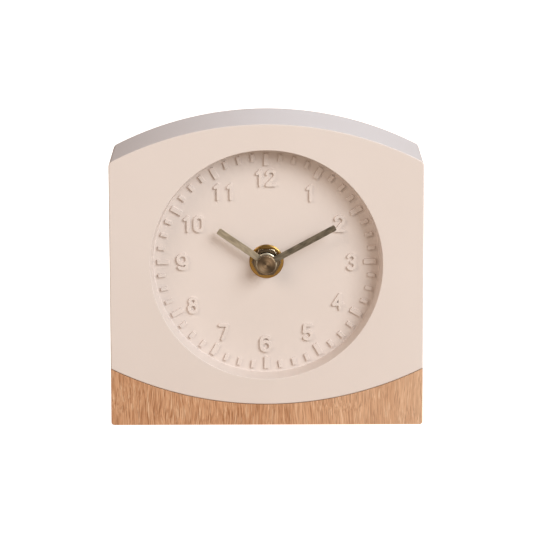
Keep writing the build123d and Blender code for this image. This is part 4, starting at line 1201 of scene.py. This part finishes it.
# %% Brushed brass for the hands
def brushed_metal(name, light, dark, angle=0.0, across=9000.0, along=200.0, roughness=0.32):
    """Metal brushed along a hand that points at an angle from twelve."""
    turn = (0, radians(angle), 0)
    material, tree, shader, place = start_material(name, DIAL_CENTRE, turn, Metallic=1.0)
    skin = place_group(tree, brushed_skin, place, Across=across, Along=along)
    edge = place_group(tree, worn_edges, place, Reach=0.00012)["Mask"]
    tone = ramp(tree, skin["Tone"], (0.32, dark), (0.68, light))
    worn = mix(tree, calc(tree, "MULTIPLY", edge, 0.6), tone, scaled(light, 1.3))
    feed(tree, shader, Base_Color=worn,
         Roughness=spread(tree, skin["Height"], roughness + 0.1, roughness))
    bump(tree, shader, skin["Height"], 0.00001)
    return material


# Lit and shaded copies of one brass: painted light on the hour hand, painted shade on the minute hand.
lit_hand_brass = brushed_metal("hour_hand_brass", (0.70, 0.635, 0.505), (0.47, 0.42, 0.32), -HOUR_ANGLE,
                           across=5200.0, along=1500.0)
shaded_hand_brass = brushed_metal("minute_hand_brass", (0.34, 0.30, 0.235), (0.17, 0.15, 0.115), -MINUTE_ANGLE,
                             across=5200.0, along=1500.0)
iron = brushed_metal("iron", (0.50, 0.49, 0.47), (0.36, 0.35, 0.34), across=4000.0, roughness=0.4)
spring_steel = brushed_metal("spring_steel", (0.78, 0.77, 0.73), (0.60, 0.59, 0.57), across=3000.0)
print("made", lit_hand_brass.name, shaded_hand_brass.name, iron.name, spring_steel.name)

# %% [markdown]
# ## Plastics and small parts of the movement
# The case is black with a sparked skin, which is rougher than the body's. The wheels are natural
# milky plastic that lets some light in. The rest are quick to tell apart by their own patterns:
# wound copper, a green board, cast resin, rubber and a sintered magnet.

# %% Plastics of the movement
def skinned_plastic(name, light, dark, grain, depth, roughness, **plain):
    """A moulded plastic whose colour, gloss and relief follow the mould's skin."""
    material, tree, shader, place = start_material(name, **plain)
    skin = place_group(tree, moulded_skin, place, Grain=grain, Drift=60.0)
    edge = place_group(tree, worn_edges, place, Reach=0.0002)["Mask"]
    tone = spread(tree, skin["Tone"], dark, light)
    worn = mix(tree, calc(tree, "MULTIPLY", edge, 0.5), tone, scaled(light, 1.5, 0.01))
    feed(tree, shader, Base_Color=worn,
         Roughness=spread(tree, skin["Height"], roughness - 0.07, roughness + 0.07))
    bump(tree, shader, skin["Height"], depth)
    return material


case_plastic = skinned_plastic("case_plastic", (0.030, 0.030, 0.033), (0.022, 0.022, 0.025),
                               grain=2600.0, depth=0.00008, roughness=0.5)
knob_plastic = skinned_plastic("knob_plastic", (0.055, 0.055, 0.06), (0.04, 0.04, 0.045),
                               grain=3000.0, depth=0.00004, roughness=0.42)
gear_plastic = skinned_plastic("gear_plastic", (0.84, 0.82, 0.75), (0.78, 0.76, 0.68),
                               grain=3500.0, depth=0.00002, roughness=0.35,
                               Subsurface_Weight=0.15, Subsurface_Scale=0.001)
rubber = skinned_plastic("rubber", (0.05, 0.05, 0.05), (0.035, 0.035, 0.035),
                         grain=1800.0, depth=0.00006, roughness=0.8)
resin = skinned_plastic("resin", (0.025, 0.025, 0.025), (0.018, 0.018, 0.02),
                        grain=1200.0, depth=0.00003, roughness=0.25)
magnet = skinned_plastic("magnet", (0.17, 0.17, 0.18), (0.12, 0.12, 0.13),
                         grain=5000.0, depth=0.00003, roughness=0.45, Metallic=0.8)
moulded = (case_plastic, knob_plastic, gear_plastic, rubber, resin, magnet)
print("made", [material.name for material in moulded])

# %% [markdown]
# The last three have a pattern of their own: rings of wire on the coil, tracks under the board's
# lacquer, and the printed bands of the battery's sleeve between two bare metal ends.

# %% Copper winding, circuit board and battery sleeve
WIRE_PITCH = 0.12 * MM
BARE_METAL = (0.62, 0.61, 0.59)
SLEEVE_SHARES = (0.0, 0.024, 0.70, 0.955)


def copper_winding():
    """Fine enamelled wire: close rings along the coil's height."""
    material, tree, shader, place = start_material("copper_wire", Metallic=1.0)
    height = add(tree, "SeparateXYZ", {"Vector": place}).outputs["Z"]
    wave = calc(tree, "SINE", calc(tree, "MULTIPLY", height, 2 * pi / WIRE_PITCH))
    round_wire = calc(tree, "MULTIPLY_ADD", wave, 0.5, 0.5)
    skin = place_group(tree, moulded_skin, place, Grain=4000.0, Drift=300.0)
    tone = spread(tree, skin["Tone"], (0.55, 0.22, 0.09), (0.78, 0.37, 0.17))
    feed(tree, shader, Base_Color=mix(tree, round_wire, (0.32, 0.12, 0.05), tone),
         Roughness=spread(tree, skin["Height"], 0.25, 0.4))
    bump(tree, shader, round_wire, 0.00004)
    return material


def circuit_board():
    """Green lacquer over copper tracks and glass cloth."""
    material, tree, shader, place = start_material("board", Roughness=0.3, Coat_Roughness=0.15)
    squares = {"Vector": place, "Scale": 260.0}
    cells = add(tree, "TexVoronoi", squares, distance="MANHATTAN").outputs["Distance"]
    tracks = ramp(tree, cells, (0.42, 0.0), (0.46, 1.0))
    skin = place_group(tree, moulded_skin, place, Grain=2500.0, Drift=90.0)
    green = spread(tree, skin["Tone"], (0.02, 0.16, 0.07), (0.03, 0.22, 0.10))
    feed(tree, shader, Base_Color=mix(tree, tracks, green, (0.05, 0.34, 0.16)),
         Coat_Weight=spread(tree, skin["Tone"], 0.5, 0.8))
    bump(tree, shader, tracks, 0.00003)
    return material


def battery_sleeve():
    """A printed sleeve with plain bands between two bare metal ends."""
    material, tree, shader, place = start_material("battery_sleeve", (battery_low.x, 0, 0))
    length = battery_high.x - battery_low.x
    along = calc(tree, "DIVIDE", add(tree, "SeparateXYZ", {"Vector": place}).outputs["X"], length)
    skin = place_group(tree, moulded_skin, place, Grain=2200.0, Drift=120.0)
    colours = (BARE_METAL, (0.035, 0.045, 0.065), (0.74, 0.42, 0.17), BARE_METAL)
    bands = ramp(tree, along, *zip(SLEEVE_SHARES, colours))
    metal = ramp(tree, along, *zip(SLEEVE_SHARES, (1.0, 0.25, 0.75, 1.0)))
    for steps in (bands, metal):
        steps.node.color_ramp.interpolation = "CONSTANT"
    worn = spread(tree, skin["Tone"], 0.88, 1.0)
    feed(tree, shader, Base_Color=mix(tree, 1.0, bands, worn, "MULTIPLY"), Metallic=metal,
         Roughness=spread(tree, skin["Height"], 0.24, 0.36))
    bump(tree, shader, skin["Height"], 0.00001)
    return material


copper_wire, board, sleeve = copper_winding(), circuit_board(), battery_sleeve()
print("made", copper_wire.name, board.name, sleeve.name)

# %% [markdown]
# ## Dress every piece
# New pieces get their material by name here. The nodes that stay as the frame has them get the
# material of the slot that the record gives them, so hidden wheels and screws are dressed as well.

# %% Give each piece and each kept node its material
BY_SLOT = {
    "shell_plastic": shell_plastic, "wood": wood, "cover_plastic": cover_plastic, "steel": steel,
    "brass": brass, "hand_brass": lit_hand_brass, "cap_brass": cap_brass, "rubber": rubber,
    "case_plastic": case_plastic, "knob_plastic": knob_plastic, "gear_plastic": gear_plastic,
    "magnet": magnet, "iron": iron, "copper_wire": copper_wire, "board": board, "resin": resin,
    "battery_sleeve": sleeve, "spring_steel": spring_steel,
}
DRESSED = {
    body_shell: shell_plastic, marks: shell_plastic, base_wood: wood, dial_washer: brass,
    bronze_nut: bronze, bushing: bronze, hour: lit_hand_brass, minute: shaded_hand_brass, cap: cap_brass,
    cover: cover_plastic, signs: case_plastic, cell: sleeve,
}
for piece, material in DRESSED.items():
    piece.data.materials.clear()
    piece.data.materials.append(material)
for part in frame["record"]["subparts"]:
    for place in frame["nodes"][part["node"]].material_slots:
        place.material = BY_SLOT[part["material_slot"]]

# %% [markdown]
# ## Camera, floor and light
# The photograph looks down at the clock by about eleven degrees from rather far away, so a long
# lens is used. The floor is plain and nearly white.

# %% Place the camera
ELEVATION = radians(11.07)
ROLL = radians(-0.17)
DISTANCE = 1300 * MM
LENS = 214.9
AIM = Vector((0, 0, 60.93 * MM))

camera_data = bpy.data.cameras.new("camera")
camera_data.lens = LENS
camera = add_object("camera", camera_data)
bpy.context.scene.camera = camera
camera.location = AIM + DISTANCE * Vector((0, -cos(ELEVATION), sin(ELEVATION)))
aimed = (AIM - camera.location).to_track_quat("-Z", "Y").to_matrix().to_4x4()
camera.rotation_euler = (aimed @ Matrix.Rotation(ROLL, 4, "Z")).to_euler()
camera_data.clip_start, camera_data.clip_end = 0.05, 20
print("camera at", [round(v, 3) for v in camera.location])

# %% [markdown]
# A studio sweep looks pure white to the lens, but it must not fill the dial's well with light, or
# the soft shadow under the rim is lost. A Light Path node tells the camera's own rays apart. They
# see a bright floor and backdrop, while the light that reaches the clock comes from three lamps and
# a faint warm glow of the room.

# %% Make the floor and the backdrop
bpy.context.scene.view_settings.view_transform = "Standard"
FLOOR_SIZE = 4.0
FLOOR_GREY = (0.62, 0.52, 0.42, 1)
FLOOR_GLOW = 0.92
BACKDROP_GLOW = 1.05
ROOM_GLOW = 0.085
ROOM_TINT = (1.0, 0.68, 0.45, 1)
WHITE = (1, 1, 1, 1)


def studio_floor():
    """A wide plain floor that only the camera sees as bright."""
    bm = bmesh.new()
    bmesh.ops.create_grid(bm, x_segments=1, y_segments=1, size=FLOOR_SIZE)
    made = add_object("floor", mesh_from(bm, "floor"))
    looks = {"Roughness": 0.9, "Base_Color": FLOOR_GREY, "Emission_Color": WHITE}
    paint, tree, shader = start_material("floor", **looks)[:3]
    camera_ray = add(tree, "LightPath").outputs["Is Camera Ray"]
    feed(tree, shader, Emission_Strength=calc(tree, "MULTIPLY", camera_ray, FLOOR_GLOW))
    made.data.materials.append(paint)
    return made


def studio_room():
    """A world that the camera sees as white, and that lights the clock only faintly."""
    world = bpy.data.worlds.new("studio")
    world.use_nodes = True
    tree = world.node_tree
    camera_ray = add(tree, "LightPath").outputs["Is Camera Ray"]
    backdrop = add(tree, "Background", {"Color": WHITE, "Strength": BACKDROP_GLOW})
    room = add(tree, "Background", {"Color": ROOM_TINT, "Strength": ROOM_GLOW})
    both = add(tree, "MixShader", {0: camera_ray, 1: room.outputs[0], 2: backdrop.outputs[0]})
    tree.links.new(both.outputs[0], tree.nodes["World Output"].inputs["Surface"])
    return world


floor = studio_floor()
bpy.context.scene.world = studio_room()
print("made", floor.name, "and", bpy.context.scene.world.name)

# %% [markdown]
# The key light stands high on the right, so the rim throws its shadow into the upper right of the
# dial. A weaker and warmer fill stands on the left, and a cool lamp behind lights the top.

# %% Set the lamps
CENTRE = Vector((0, 0, 0.065))


def area_light(name, place, size, power, colour):
    """A soft rectangular light that looks at the middle of the clock."""
    data = bpy.data.lights.new(name, "AREA")
    data.shape = "RECTANGLE"
    data.size, data.size_y = size
    data.energy, data.color = power, colour
    light = add_object(name, data)
    light.location = place
    light.rotation_euler = (CENTRE - Vector(place)).to_track_quat("-Z", "Y").to_euler()
    return light


lamps = (
    area_light("key", (1.57, -1.78, 1.40), size=(1.6, 1.6), power=73.0, colour=(0.94, 0.98, 1.0)),
    area_light("fill", (-1.68, -1.68, 1.51), size=(1.4, 1.4), power=27.0, colour=(1.0, 0.86, 0.75)),
    area_light("top", (0.3, 0.7, 0.95), size=(0.8, 0.5), power=7.9, colour=(0.72, 0.83, 1.0)),
)
print("lamps", [lamp.name for lamp in lamps])
